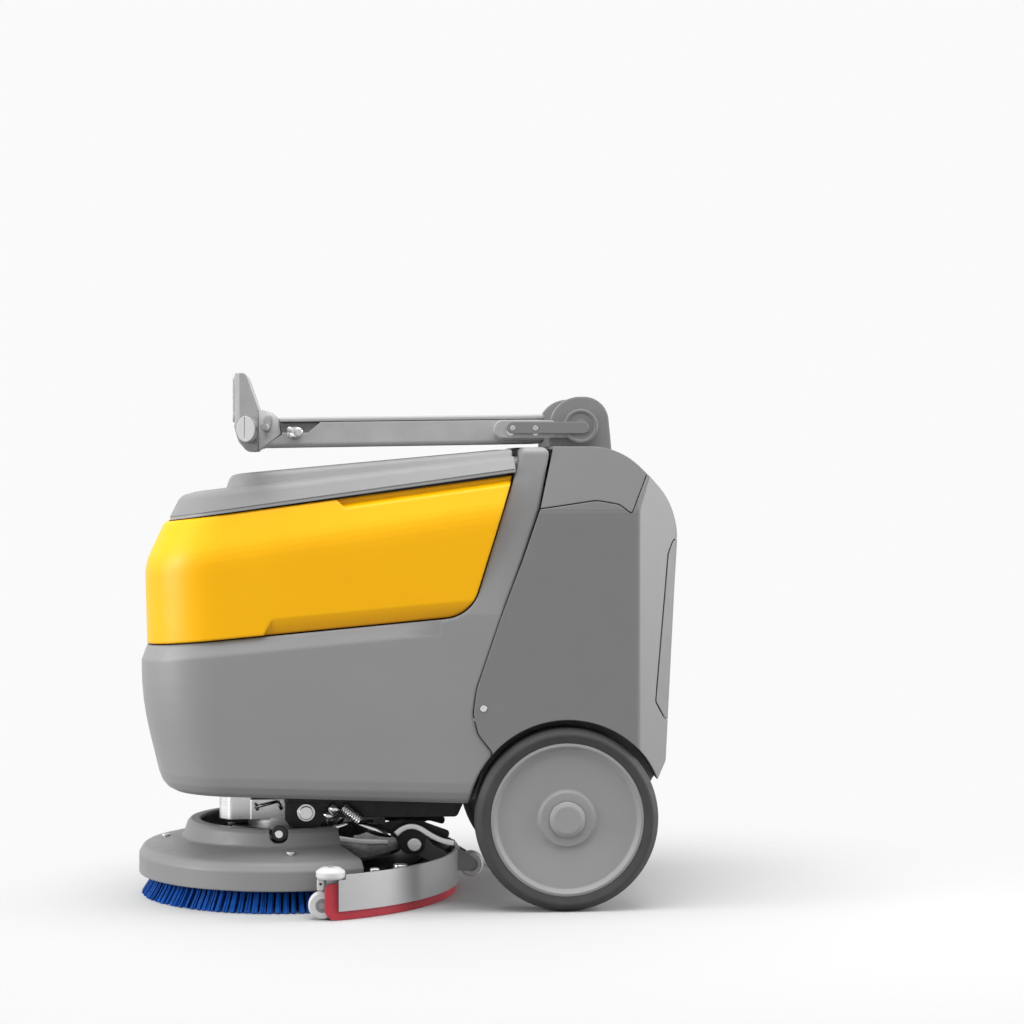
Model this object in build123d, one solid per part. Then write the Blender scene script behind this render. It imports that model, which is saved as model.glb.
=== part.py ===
import math
import os

from build123d import *

os.makedirs("parts", exist_ok=True)

# All sizes in mm. +Z is up, the floor is z = 0, the machine's front is -X, its left side is -Y.

# Clearances
seam = 1.2
run_fit = 0.05
moving_gap = 0.6

# Body
body_half = 200.0
wall = 4.0
rear_x = 346.4
tank_front_x = -334.0
rim_front_x = -327.0
rim_z = 331.0
rim_slope = 0.0936
tank_gap = 2.2
crease_front_z = 433.0
crease_slope = 0.1475
tank_top_front_x = -305.0
tank_top_front_z = 486.0
tank_top_slope = 0.1344
corner_radius = 92.0
pillar_top_z = 580.0
cap_bend_z = 500.0
cap_top_half = 170.0

# Lid
lid_front_x = -298.0
lid_front_z = 492.0
lid_slope = 0.140
lid_rear_x = 135.0
lid_wall = 3.5
seal_height = 5.2
lid_hinge_x = 139.5
lid_hinge_z = 562.0
lid_pin_radius = 3.0

# Wheels
axle_x = 199.0
wheel_radius = 115.0
wheel_outer_y = 203.0
wheel_width = 50.0
hub_radius = 96.0
axle_radius = 10.0
arch_gap = 10.0
well_y = 136.0

# Handle
pivot_x = 224.0
pivot_z = 607.0
pivot_radius = 8.0
lug_radius = 38.0
lug_inner_y = 80.0
lug_thick = 18.4
arm_half = 90.0
arm_rear_x = 179.0
arm_wall = 5.0
cover_thick = 6.0
joint_line = 0.8
link_height = 15.4
link_thick = 8.0
disc_radius = 22.0
disc_thick = 4.5
console_half = 80.0
grip_x = -199.0
grip_z = 602.0
grip_end_y = 224.0
trigger_x = -177.0
trigger_z = 605.0
trigger_pivot_x = -174.0
trigger_pivot_z = 616.0
trigger_pin_radius = 2.5
lever_x = -139.5
lever_z = 599.0
lever_pin_radius = 4.0
button_radius = 9.0
button_pitch = 32.0

# Deck and brush
deck_x = -151.5
skirt_radius = 194.0
skirt_low_z = 28.0
collar_radius = 127.0
collar_rim = 12.0
collar_top_z = 96.0
deck_wall = 4.0
deck_plate_z = 54.0
deck_plate_thick = 4.0
cutout_angle = 60.0
yoke_x = -127.0
yoke_z = 113.0
yoke_radius = 7.0
yoke_inner_y = 80.0
yoke_lug_thick = 7.0
spigot_radius = 52.0
motor_x = -205.0
motor_radius = 42.0
motor_top_z = 250.0
motor_room = 9.0
shaft_radius = 12.0
brush_plate_radius = 176.0
brush_plate_low_z = 36.0
brush_plate_thick = 10.0
brush_tip_radius = 192.0

# Squeegee
squeegee_x = -192.4
squeegee_radius = 264.0
squeegee_angle = 66.2
strip_thick = 3.5
strip_low_z = 11.0
strip_high_z = 56.0
blade_thick = 3.5
blade_corner = 14.0
blade_top_corner = 8.0
frame_width = 10.0
frame_low_z = 24.0
frame_high_z = 50.0
lift_x = -72.0
lift_z = 80.0
lift_radius = 5.0
tilt_x = 12.0
tilt_z = 67.0
tilt_radius = 6.0
ring_low_z = 68.0
ring_high_z = 76.0
ring_width = 14.0
bumper_radius = 18.0
bumper_thick = 14.0
bumper_x = -96.0
bumper_y = 233.0
support_radius = 17.5
support_thick = 13.0
rear_roller_radius = 16.0
rear_roller_x = 89.0
rear_roller_z = 31.0
port_radius = 17.0
port_bore = 13.5
port_height = 14.0


def rounded(points):
    """Closed flat face from (u, v, radius) corners; radius 0 keeps a sharp corner."""
    count = len(points)
    cuts = []
    for i in range(count):
        u, v, r = points[i]
        here = Vector(u, v)
        back = (Vector(*points[i - 1][:2]) - here).normalized()
        ahead = (Vector(*points[(i + 1) % count][:2]) - here).normalized()
        half = 0.5 * math.acos(max(-1.0, min(1.0, back.dot(ahead))))
        if r <= 0 or half > 1.5:
            cuts.append((here, None, here))
            continue
        reach = r / math.tan(half)
        middle = (back + ahead).normalized()
        centre = here + middle * (r / math.sin(half))
        cuts.append((here + back * reach, centre - middle * r, here + ahead * reach))
    edges = []
    for i in range(count):
        start, mid, stop = cuts[i]
        if mid is not None:
            edges.append(Edge.make_three_point_arc(start, mid, stop))
        following = cuts[(i + 1) % count][0]
        if (following - stop).length > 1e-5:
            edges.append(Edge.make_line(stop, following))
    return Face(Wire(edges))


def side_block(points, y_low, y_high):
    """Side outline in X and Z, run across the machine from y_low to y_high."""
    place = Plane(origin=(0, y_high, 0), x_dir=(1, 0, 0), z_dir=(0, -1, 0))
    return Solid.extrude(place * rounded(points), Vector(0, y_low - y_high, 0))


def side_run(face, y_first, y_last):
    """Flat side outline run across the machine between two places in either order."""
    place = Plane(origin=(0, max(y_first, y_last), 0), x_dir=(1, 0, 0), z_dir=(0, -1, 0))
    return Solid.extrude(place * face, Vector(0, -abs(y_last - y_first), 0))


def plan_block(points, z_low, z_high):
    """Plan outline in X and Y, run upwards from z_low to z_high."""
    place = Plane(origin=(0, 0, z_low))
    return Solid.extrude(place * rounded(points), Vector(0, 0, z_high - z_low))


def cross_block(points, x_low, x_high):
    """Cross outline in Y and Z, run backwards from x_low to x_high."""
    place = Plane(origin=(x_low, 0, 0), x_dir=(0, 1, 0), z_dir=(1, 0, 0))
    return Solid.extrude(place * rounded(points), Vector(x_high - x_low, 0, 0))


def box(x_low, x_high, y_low, y_high, z_low, z_high):
    """Plain block between two corners."""
    place = Pos((x_low + x_high) / 2, (y_low + y_high) / 2, (z_low + z_high) / 2)
    return place * Solid.make_box(x_high - x_low, y_high - y_low, z_high - z_low,
                                  Plane((-(x_high - x_low) / 2, -(y_high - y_low) / 2,
                                         -(z_high - z_low) / 2)))


def rod_y(x, z, radius, y_low, y_high):
    """Round bar across the machine."""
    return Solid.make_cylinder(radius, y_high - y_low, Plane((x, y_low, z), z_dir=(0, 1, 0)))


def rod_z(x, y, radius, z_low, z_high):
    """Upright round bar."""
    return Solid.make_cylinder(radius, z_high - z_low, Plane((x, y, z_low)))


def rod(start, stop, radius):
    """Round bar between two points."""
    reach = Vector(*stop) - Vector(*start)
    return Solid.make_cylinder(radius, reach.length, Plane(start, z_dir=reach))


def turned_z(x, y, profile):
    """Body turned about an upright axis from (radius, height) corners."""
    face = Plane((x, y, 0), x_dir=(1, 0, 0), z_dir=(0, -1, 0)) * rounded(profile)
    return Solid.revolve(face, 360, Axis((x, y, 0), (0, 0, 1)))


def turned_y(x, z, profile):
    """Body turned about a cross axis from (radius, y) corners."""
    face = Plane((x, 0, z), x_dir=(1, 0, 0), z_dir=(0, 0, 1)) * rounded(profile)
    return Solid.revolve(face, 360, Axis((x, 0, z), (0, 1, 0)))


def turned_side(x, z, side, profile):
    """Body turned about a cross axis, its places counted outwards on one side."""
    return turned_y(x, z, [(r, side * y, f) for r, y, f in profile])


def slope_ring(x_low, z_low, x_high, slope, half, front_radius):
    """Rounded plan outline lying in a plane that rises towards the rear."""
    run = Vector(1, 0, slope)
    length = (x_high - x_low) * run.length
    place = Plane((x_low, 0, z_low), x_dir=run, z_dir=run.cross(Vector(0, 1, 0)))
    corners = [(0, -half, front_radius), (length, -half, 2.0), (length, half, 2.0), (0, half, front_radius)]
    return (place * rounded(corners)).outer_wire()


def toward(here, there, reach):
    """Outline values a given way from one outline to the next."""
    share = reach / math.hypot(there[0] - here[0], there[1] - here[1])
    return [a + (b - a) * share for a, b in zip(here, there)]


def eased_stack(levels, reaches):
    """Body through sloping outlines given as values, each inner one rounded over its reach."""
    rings = [levels[0]]
    for i, reach in enumerate(reaches, 1):
        before = toward(levels[i], levels[i - 1], reach)
        after = toward(levels[i], levels[i + 1], reach)
        for t in (0.0, 0.25, 0.5, 0.75, 1.0):
            parts = zip(before, levels[i], after)
            rings.append([(1 - t) ** 2 * a + 2 * t * (1 - t) * b + t * t * c for a, b, c in parts])
    rings.append(levels[-1])
    return Solid.make_loft([slope_ring(*values) for values in rings], True)


def drawn_in(level, inset):
    """The same sloping outline, smaller all round in its own plane."""
    x_low, z_low, x_high, slope, half, front_radius = level
    return [x_low + inset, z_low + inset * slope, x_high - inset, slope, half - inset, front_radius - inset]


def joined(first, *others):
    """One body from pieces that touch or overlap."""
    return first.fuse(*others).clean() if others else first


def group(*solids):
    """Several equal solids kept as one node."""
    return Compound(children=[s for s in solids])


def save(shape, name):
    export_step(shape, "parts/" + name + ".step")


# The main seam between the tank and the rear shell, top to bottom, as (x, z, radius).
seam_line = [(183.0, 596.0, 0), (165.0, 504.0, 60), (143.0, 440.0, 60), (114.5, 366.0, 60),
             (85.0, 279.0, 60), (81.0, 248.0, 25), (87.0, 223.0, 20), (105.0, 200.0, 0), (82.0, 134.0, 0)]


def shifted(points, dx):
    return [(x + dx, z, r) for x, z, r in points]


# The wheel arches cut both body pieces.
arch_radius = wheel_radius + arch_gap
wells = []
well_walls = []
for side in (-1, 1):
    inner = side * well_y
    outer = side * (body_half + 30)
    wells.append(rod_y(axle_x, wheel_radius, arch_radius, min(inner, outer), max(inner, outer)))
    inner = side * (well_y - wall)
    well_walls.append(rod_y(axle_x, wheel_radius, arch_radius + wall, min(inner, outer), max(inner, outer)))

# Yellow recovery tank: stacked outlines, trimmed by a side outline with a rounded rear corner.
tank_rear_line = [(77.9, rim_z + (77.9 - rim_front_x) * rim_slope + tank_gap, 46), (129.0, 536.0, 60),
                  (137.0, 575.0, 0)]
tank_cut = [(-360.0, rim_z + (-360.0 - rim_front_x) * rim_slope + tank_gap, 0)] + tank_rear_line
tank_cut += [(-360.0, 575.0, 0)]
stack_rear_x = 160.0


crease_front_x = -329.5
crease_ease = 16.0
top_ease = 4.0
top_draw = 16.0


def recovery_levels(inset, low_inset, top_inset, lift):
    low = [rim_front_x + inset, rim_z + tank_gap + lift + inset * rim_slope, stack_rear_x, rim_slope,
           body_half - 2.0 - low_inset, corner_radius - inset]
    crease = [crease_front_x + inset, crease_front_z + inset * crease_slope, stack_rear_x, crease_slope,
              body_half - inset, corner_radius - inset]
    top = [tank_top_front_x + inset, tank_top_front_z + inset * tank_top_slope, stack_rear_x,
           tank_top_slope,
           body_half - top_draw - top_inset, corner_radius - 14.0 - inset]
    return [low, crease, top]


outer_levels = recovery_levels(0.0, 0.0, 0.0, 0.0)
outer_levels.append(drawn_in(outer_levels[-1], 2 * top_ease))
recovery_outer = eased_stack(outer_levels, [crease_ease, top_ease]) & side_block(tank_cut, -300, 300)
inner_cut = [(-360.0, 300.0, 0), (60.0, 300.0, 0), (76.0, 378.0, 40), (122.0, 530.0, 0), (127.0, 575.0, 0),
             (-360.0, 575.0, 0)]
recovery_inner = eased_stack(recovery_levels(wall, 13.0, 12.0, wall), [crease_ease])
recovery_inner = recovery_inner & side_block(inner_cut, -300, 300)
seal_front_x = lid_front_x + 19.0
seal_half = body_half - 20.0
seal_width = 5.0
mouth_step = 2.0
mouth_half = seal_half - seal_width - mouth_step
mouth = slope_ring(seal_front_x + seal_width + mouth_step, tank_top_front_z - 6.0, 117.0, tank_top_slope,
                   mouth_half, 55.0)
mouth = Solid.extrude(Face(mouth), Vector(0, 0, 40))
low_scoop = [(-180.0, 330.0, 0), (-178.0, 347.0, 6), (-167.0, 368.0, 16), (-141.0, 378.5, 18),
             (140.0, 404.0, 0),
             (140.0, 330.0, 0)]
high_scoop = [(-89.0, 516.0, 0), (-63.0, 490.0, 14), (-20.0, 504.0, 30), (150.0, 528.0, 0),
              (150.0, 570.0, 0),
              (-80.0, 540.0, 0)]
far_y = body_half + 20.0
undercut = 14.0
undercut_low = [(body_half + 0.5, 404.0), (body_half - undercut, 352.0), (far_y, 352.0), (far_y, 404.0)]
shelf_depth = 22.0
shelf_rise = 14.0
shelf_z = 528.0
shelf_high = [(body_half + 1.0, shelf_z), (body_half - shelf_depth, shelf_z + shelf_rise),
              (body_half - shelf_depth, 600.0), (far_y, 600.0), (far_y, shelf_z)]
scoop_end_x = 150.0
scoop_run = 400.0
scoops = []
for outline, section, slope, depth in ((low_scoop, undercut_low, 0.0908, undercut),
                                       (high_scoop, shelf_high, 0.1412, shelf_depth)):
    flat = rounded(outline)
    grown = offset(flat, amount=wall, kind=Kind.INTERSECTION).faces()[0]
    for side in (-1, 1):
        corners = [Vector(scoop_end_x, side * y, z) for y, z in section]
        wedge = Solid.extrude(Face(Wire.make_polygon(corners)), Vector(-scoop_run, 0, -scoop_run * slope))
        near = side * (body_half - depth - 2.0)
        scoops.append(side_run(flat, near, side * far_y) & wedge)
        recovery_inner -= side_run(grown, near - side * wall, side * far_y)
recovery_tank = recovery_outer - recovery_inner - mouth
for piece in scoops:
    recovery_tank -= piece
save(recovery_tank, "recovery_tank")

# Rubber seal in the gap between tank and lid.
seal_z = tank_top_front_z + (seal_front_x - tank_top_front_x) * tank_top_slope
seal_outer = slope_ring(seal_front_x, seal_z, 124.0, tank_top_slope, seal_half, 62.0)
seal_inner = slope_ring(seal_front_x + seal_width, seal_z + seal_width * tank_top_slope, 124.0 - seal_width,
                        tank_top_slope, seal_half - seal_width, 57.0)
lid_seal = Solid.extrude(Face(seal_outer), Vector(0, 0, seal_height))
lid_seal -= Solid.extrude(Face(seal_inner), Vector(0, 0, 3 * seal_height)).moved(Pos(0, 0, -seal_height))
save(lid_seal, "lid_seal")

# Grey solution tank with the upright wall behind the recovery tank.
rim_cut_x = 79.2
past_front_x = tank_front_x - 60.0
tank_outline = [(past_front_x, 124.0, 0), (past_front_x, rim_z + (past_front_x - rim_front_x) * rim_slope,
                                           0),
                (rim_cut_x, rim_z + (rim_cut_x - rim_front_x) * rim_slope, 48), (132.0, 536.0, 60),
                (145.5, pillar_top_z, 8)]
tank_outline += [(seam_line[0][0] - seam / 2 - 3.5, pillar_top_z, 9)] + shifted(seam_line[1:], -seam / 2)
floor_front_x = -306.0
floor_front_z = 146.7
floor_slope = -0.0358
bulge_z = 262.0
band_height = 18.5
floor_ease = 26.0
bulge_ease = 42.0


def tank_levels(inset):
    rear = stack_rear_x + 40.0
    base = [floor_front_x + inset, floor_front_z + inset, rear, floor_slope, body_half - 5.0 - inset,
            corner_radius - 8.0 - inset]
    bulge = [tank_front_x + inset, bulge_z, rear, 0.0, body_half - inset, corner_radius - inset]
    band = [tank_front_x + inset, rim_z - band_height, rear, rim_slope, body_half - inset,
            corner_radius - inset]
    rim = [rim_front_x + inset, rim_z - inset, rear, rim_slope, body_half - 6.5 - inset,
           corner_radius - 6.0 - inset]
    return [drawn_in(base, 2 * floor_ease), base, bulge, band, rim]


def pillar_form(inset):
    half = body_half - inset
    sides = [(-half, 330.0, 0), (half, 330.0, 0), (half, 372.0, 40),
             (half - 22.0, pillar_top_z - inset, 10)]
    sides += [(-half + 22.0, pillar_top_z - inset, 10), (-half, 372.0, 40)]
    return cross_block(sides, 40.0, 230.0)


tank_side = rounded(tank_outline)
tank_place = Plane(origin=(0, 300, 0), x_dir=(1, 0, 0), z_dir=(0, -1, 0))
tank_body = joined(eased_stack(tank_levels(0.0), [floor_ease, bulge_ease, 1.0]), pillar_form(0.0))
tank_outer = tank_body & Solid.extrude(tank_place * tank_side, Vector(0, -600, 0))
inner_side = offset(tank_side, amount=-wall, kind=Kind.INTERSECTION).faces()[0]
tank_inner = joined(eased_stack(tank_levels(wall), [floor_ease, bulge_ease, 1.0]), pillar_form(wall))
tank_inner = tank_inner & Solid.extrude(tank_place * inner_side, Vector(0, -600, 0))
motor_pocket = rod_z(motor_x, 0, motor_radius + motor_room, 100.0, motor_top_z + motor_room)
pocket_wall = rod_z(motor_x, 0, motor_radius + motor_room + wall, 100.0, motor_top_z + motor_room + wall)
for piece in well_walls:
    tank_inner -= piece
tank_inner -= pocket_wall
hinge_y = 118.0
hinge_width = 18.0
hinge_room = 1.5
hinge_eye = lid_pin_radius + 3.0
pin_half = hinge_width / 2 + 12.0
lid_pins = []
for side in (-1, 1):
    middle = side * hinge_y
    reach = pin_half + wall
    tank_inner -= rod_y(lid_hinge_x, lid_hinge_z, hinge_eye + hinge_room + wall, middle - reach,
                        middle + reach)
    lid_pins.append(rod_y(lid_hinge_x, lid_hinge_z, lid_pin_radius, middle - pin_half, middle + pin_half))
valve_x = -60.0
valve_radius = 14.0
outlet_radius = 7.0
solution_tank = tank_outer - tank_inner - motor_pocket - rod_z(valve_x, 0, outlet_radius, 120.0, 160.0)
for piece in wells:
    solution_tank -= piece
for pin in lid_pins:
    solution_tank -= pin
for side in (-1, 1):
    middle = side * hinge_y
    low = middle - hinge_width / 2 - hinge_room
    high = middle + hinge_width / 2 + hinge_room
    solution_tank -= rod_y(lid_hinge_x, lid_hinge_z, hinge_eye + hinge_room, low, high)
save(solution_tank, "solution_tank")

# Rear shell, split into shell, top cap and service hatch by side outlines.
rear_outline = [(seam_line[0][0] + seam / 2, 581.0, 0), (266.0, 581.0, 85), (rear_x, 500.6, 95),
                (339.5, 404.0, 90), (327.0, 184.0, 12), (313.0, 158.0, 8),
                (300.0, 136.0, 5)]
rear_outline += [(x, z, r) for x, z, r in reversed(shifted(seam_line[1:], seam / 2))]
rear_plan = [(60.0, -body_half, 0), (289.0, -body_half, 10), (rear_x + 0.2, -142.0, 26),
             (rear_x + 0.2, 142.0, 26), (289.0, body_half, 10), (60.0, body_half, 0)]
rear_cross = [(-body_half, 100.0, 0), (body_half, 100.0, 0), (body_half, cap_bend_z, 14),
              (cap_top_half, 590.0, 0),
              (-cap_top_half, 590.0, 0), (-body_half, cap_bend_z, 14)]
rear_outer = side_block(rear_outline, -300, 300) & plan_block(rear_plan, 90, 640) & cross_block(rear_cross,
                                                                                                40, 400)
inner_outline = [(40.0, 577.0, 0), (264.3, 577.0, 81), (rear_x - wall, 498.9, 91),
                 (335.5, 404.0, 88), (322.8, 184.5, 12), (309.0, 160.0, 8), (296.0, 120.0, 0),
                 (40.0, 120.0, 0)]
inner_plan = [(30.0, -body_half + wall, 0), (287.4, -body_half + wall, 10), (rear_x - wall, -140.5, 24),
              (rear_x - wall, 140.5, 24), (287.4, body_half - wall, 10), (30.0, body_half - wall, 0)]
inner_cross = [(-body_half + wall, 80.0, 0), (body_half - wall, 80.0, 0),
               (body_half - wall, cap_bend_z, 12),
               (cap_top_half - wall, 590.0, 0), (-cap_top_half + wall, 590.0, 0),
               (-body_half + wall, cap_bend_z, 12)]
rear_inner = side_block(inner_outline, -300, 300) & plan_block(inner_plan, 70,
                                                               640) & cross_block(inner_cross, 20, 400)
for piece in well_walls:
    rear_inner -= piece
rear_skin = rear_outer - rear_inner
for piece in wells:
    rear_skin -= piece
cap_cut = [(130.0, 500.5, 0), (165.0, 503.0, 0), (236.0, 513.5, 40), (264.0, 508.5, 16), (279.0, 496.8, 2),
           (304.0, 556.0, 0), (330.0, 620.0, 0), (130.0, 620.0, 0)]
hatch_cut = [(372.0, 464.0, 0), (338.0, 464.0, 8), (330.0, 446.0, 8), (312.0, 260.0, 10), (326.0, 236.0, 8),
             (372.0, 236.0, 0)]
cap_inset = offset(rounded(cap_cut), amount=-seam / 2, kind=Kind.INTERSECTION).faces()[0]
cap_grown = offset(rounded(cap_cut), amount=seam / 2, kind=Kind.INTERSECTION).faces()[0]
hatch_inset = offset(rounded(hatch_cut), amount=-seam / 2, kind=Kind.INTERSECTION).faces()[0]
hatch_grown = offset(rounded(hatch_cut), amount=seam / 2, kind=Kind.INTERSECTION).faces()[0]
across = Vector(0, -600, 0)
rear_shell = rear_skin - Solid.extrude(tank_place * cap_grown,
                                       across) - Solid.extrude(tank_place * hatch_grown, across)
lug_outer_y = lug_inner_y + lug_thick
lug_room = 1.5
top_cap = rear_skin & Solid.extrude(tank_place * cap_inset, across)
service_hatch = rear_skin & Solid.extrude(tank_place * hatch_inset, across)
lug_low_x = pivot_x - lug_radius
lug_high_x = pivot_x + 45.0
for side in (-1, 1):
    low = min(side * lug_inner_y, side * lug_outer_y) - lug_room
    high = max(side * lug_inner_y, side * lug_outer_y) + lug_room
    top_cap -= box(lug_low_x - lug_room, lug_high_x + lug_room, low, high, 540.0, 600.0)
screw_radius = 4.0
screw_x = 94.0
screw_z = 255.0
shell_screws = []
for side in (-1, 1):
    ends = sorted((side * (body_half - 9.0), side * (body_half + 0.8)))
    screw = rod_y(screw_x, screw_z, screw_radius, ends[0], ends[1])
    rear_shell -= screw
    shell_screws.append(screw)
save(group(*shell_screws), "shell_screws")
save(rear_shell, "rear_shell")
save(top_cap, "top_cap")
save(service_hatch, "service_hatch")

# Lid: a low tray with a raised middle, hollow from below, on two hinge eyes.
shoulder_slope = 0.1196
plateau_slope = 0.0922


shoulder_ease = 9.0
plateau_ease = 7.0


def lid_form(inset):
    rear = lid_rear_x - inset
    low = [lid_front_x + inset * 1.2, lid_front_z + inset * 0.168, rear, lid_slope,
           body_half - 14.0 - inset,
           76.0 - inset]
    shoulder = [lid_front_x + 14.0 + inset, lid_front_z + 28.0 - inset, rear, shoulder_slope,
                body_half - 27.0 - inset, 66.0 - inset]
    base = [-231.5 + inset, 518.0 - inset, rear, shoulder_slope, 132.0 - inset, 42.0 - inset]
    top = [-222.0 + inset, 545.0 - inset, rear, plateau_slope, 122.0 - inset, 36.0 - inset]
    tray = eased_stack([low, shoulder, drawn_in(shoulder, 2 * shoulder_ease)], [shoulder_ease])
    return joined(tray, eased_stack([base, top, drawn_in(top, 2 * plateau_ease)], [plateau_ease]))


lid = lid_form(0.0)
for side in (-1, 1):
    low = side * hinge_y - hinge_width / 2
    high = side * hinge_y + hinge_width / 2
    eye = rod_y(lid_hinge_x, lid_hinge_z, hinge_eye, low, high)
    strap = box(lid_rear_x - 2.0, lid_hinge_x, low, high, lid_hinge_z - 4.0, lid_hinge_z + hinge_eye)
    lid = joined(lid, eye, strap)
lid -= lid_form(lid_wall)
for pin in lid_pins:
    lid -= rod_y(lid_hinge_x, lid_hinge_z, lid_pin_radius + run_fit, pin.center().Y - hinge_width,
                 pin.center().Y + hinge_width)
save(lid, "lid")
save(group(*lid_pins), "lid_hinge_pins")

# Wheels on a fixed axle.
wheel_inner_y = wheel_outer_y - wheel_width
axle_end_y = wheel_outer_y - 9.0
boss_radius = 34.0
cap_radius = 22.5


def wheel(side):
    tread = [(hub_radius, wheel_inner_y + 3, 0), (wheel_radius - 8, wheel_inner_y, 5),
             (wheel_radius, wheel_inner_y + 9, 8), (wheel_radius, wheel_outer_y - 9, 8),
             (wheel_radius - 8, wheel_outer_y, 5), (hub_radius, wheel_outer_y - 3, 0)]
    tyre = turned_side(axle_x, wheel_radius, side, tread)
    bore = axle_radius + run_fit
    inner_face = [(bore, wheel_inner_y + 6, 0), (26.0, wheel_inner_y + 6, 2), (28.0, wheel_inner_y + 22, 4),
                  (84.0, wheel_inner_y + 22, 4), (87.0, wheel_inner_y + 3, 1),
                  (hub_radius, wheel_inner_y + 3, 0)]
    outer_face = [(hub_radius, wheel_outer_y - 3, 1), (92.0, wheel_outer_y - 2, 1),
                  (87.5, wheel_outer_y - 8, 2), (boss_radius + 2.0, wheel_outer_y - 12, 3),
                  (boss_radius, wheel_outer_y - 8, 2), (cap_radius, wheel_outer_y - 8, 0),
                  (cap_radius, wheel_outer_y - 14, 0),
                  (bore, wheel_outer_y - 14, 0)]
    hub = turned_side(axle_x, wheel_radius, side, inner_face + outer_face)
    dome = [(0.0, axle_end_y + 2, 0), (14.0, axle_end_y + 2, 0), (14.0, wheel_outer_y - 14, 0),
            (cap_radius, wheel_outer_y - 14, 0), (cap_radius, wheel_outer_y - 4, 2),
            (17.0, wheel_outer_y - 1, 3), (0.0, wheel_outer_y - 1, 0)]
    cover = turned_side(axle_x, wheel_radius, side, dome)
    return tyre, hub, cover


for side, label in ((-1, "left"), (1, "right")):
    tyre, hub, cover = wheel(side)
    save(tyre, label + "_tyre")
    save(hub, label + "_hub")
    save(cover, label + "_hub_cap")
axle = rod_y(axle_x, wheel_radius, axle_radius, -axle_end_y, axle_end_y)
for side in (-1, 1):
    low = side * (wheel_inner_y + 4.0)
    high = side * 132.0
    axle = joined(axle, rod_y(axle_x, wheel_radius, 15.0, min(low, high), max(low, high)))
save(axle, "axle")

# Chassis: plate under the body with yoke cheeks in front and axle cheeks behind.
plate_low_z = 126.0
plate_high_z = 132.0
yoke_outer_y = yoke_inner_y + yoke_lug_thick + moving_gap + 7.0
chassis = plan_block([(-155.0, -98.0, 6), (60.0, -98.0, 6), (110.0, -126.0, 6), (300.0, -126.0, 20),
                      (300.0, 126.0, 20), (110.0, 126.0, 6), (60.0, 98.0, 6), (-155.0, 98.0, 6)],
                     plate_low_z, plate_high_z)
cheek = [(-154.0, plate_high_z, 0), (-154.0, 104.0, 5), (-146.0, 94.0, 5), (-108.0, 94.0, 8),
         (-100.0, plate_high_z, 0)]
rail = [(-110.0, plate_high_z, 0), (-92.0, 106.0, 8), (66.0, 106.0, 6), (78.0, plate_high_z, 0)]
for side in (-1, 1):
    low = side * (yoke_inner_y + yoke_lug_thick + moving_gap)
    high = side * yoke_outer_y
    chassis = joined(chassis, side_block(cheek, min(low, high), max(low, high)),
                     side_block(rail, min(low, high), max(low, high)))
    low = side * 122.0
    high = side * 130.0
    axle_cheek = [(174.0, plate_high_z, 0), (182.0, 96.0, 14), (216.0, 96.0, 14), (224.0, plate_high_z, 0)]
    chassis = joined(chassis, side_block(axle_cheek, min(low, high), max(low, high)))
chassis -= rod_y(axle_x, wheel_radius, axle_radius, -200, 200)
chassis -= rod_y(yoke_x, yoke_z, yoke_radius, -200, 200)
chassis -= rod_z(valve_x, 0, valve_radius + 1.0, 90, 140)
save(chassis, "chassis")
bolt_head_radius = 11.5
bolt_profile = [(0, yoke_inner_y - 6.0, 0), (yoke_radius, yoke_inner_y - 6.0, 0),
                (yoke_radius, yoke_outer_y, 0), (bolt_head_radius, yoke_outer_y, 0),
                (bolt_head_radius, yoke_outer_y + 1.8, 0.6),
                (8.5, yoke_outer_y + 1.8, 0), (8.5, yoke_outer_y + 6.0, 1), (0, yoke_outer_y + 6.0, 0)]
yoke_bolts = [turned_side(yoke_x, yoke_z, side, bolt_profile) for side in (-1, 1)]
save(group(*yoke_bolts), "yoke_bolts")

# Inner pieces.
battery_half = 88.0
battery_top_z = 300.0
front_battery = plan_block([(126.0, -battery_half, 4), (188.0, -battery_half, 4), (188.0, battery_half, 4),
                            (126.0, battery_half, 4)], plate_high_z, battery_top_z)
rear_battery = front_battery.moved(Pos(92.0, 0, 0))
save(group(front_battery, rear_battery), "batteries")
control_unit = plan_block([(130.0, -70.0, 5), (184.0, -70.0, 5), (184.0, 70.0, 5), (130.0, 70.0, 5)],
                          battery_top_z, battery_top_z + 36.0)
save(control_unit, "control_unit")
shelf_z = 326.0
suction_motor = turned_z(258.0, 0.0, [(0, shelf_z + 4, 0), (44.0, shelf_z + 4, 3), (44.0, shelf_z + 60, 0),
                                      (38.0, shelf_z + 64, 3), (38.0, shelf_z + 110, 8),
                                      (0, shelf_z + 110, 0)])
save(suction_motor, "suction_motor")
solution_valve = joined(rod_z(valve_x, 0, valve_radius, 112.0, 137.0),
                        rod_z(valve_x, 0, outlet_radius, 137.0, 150.0),
                        box(valve_x - 34, valve_x, -11, 11, 114, 124))
save(solution_valve, "solution_valve")

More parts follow.
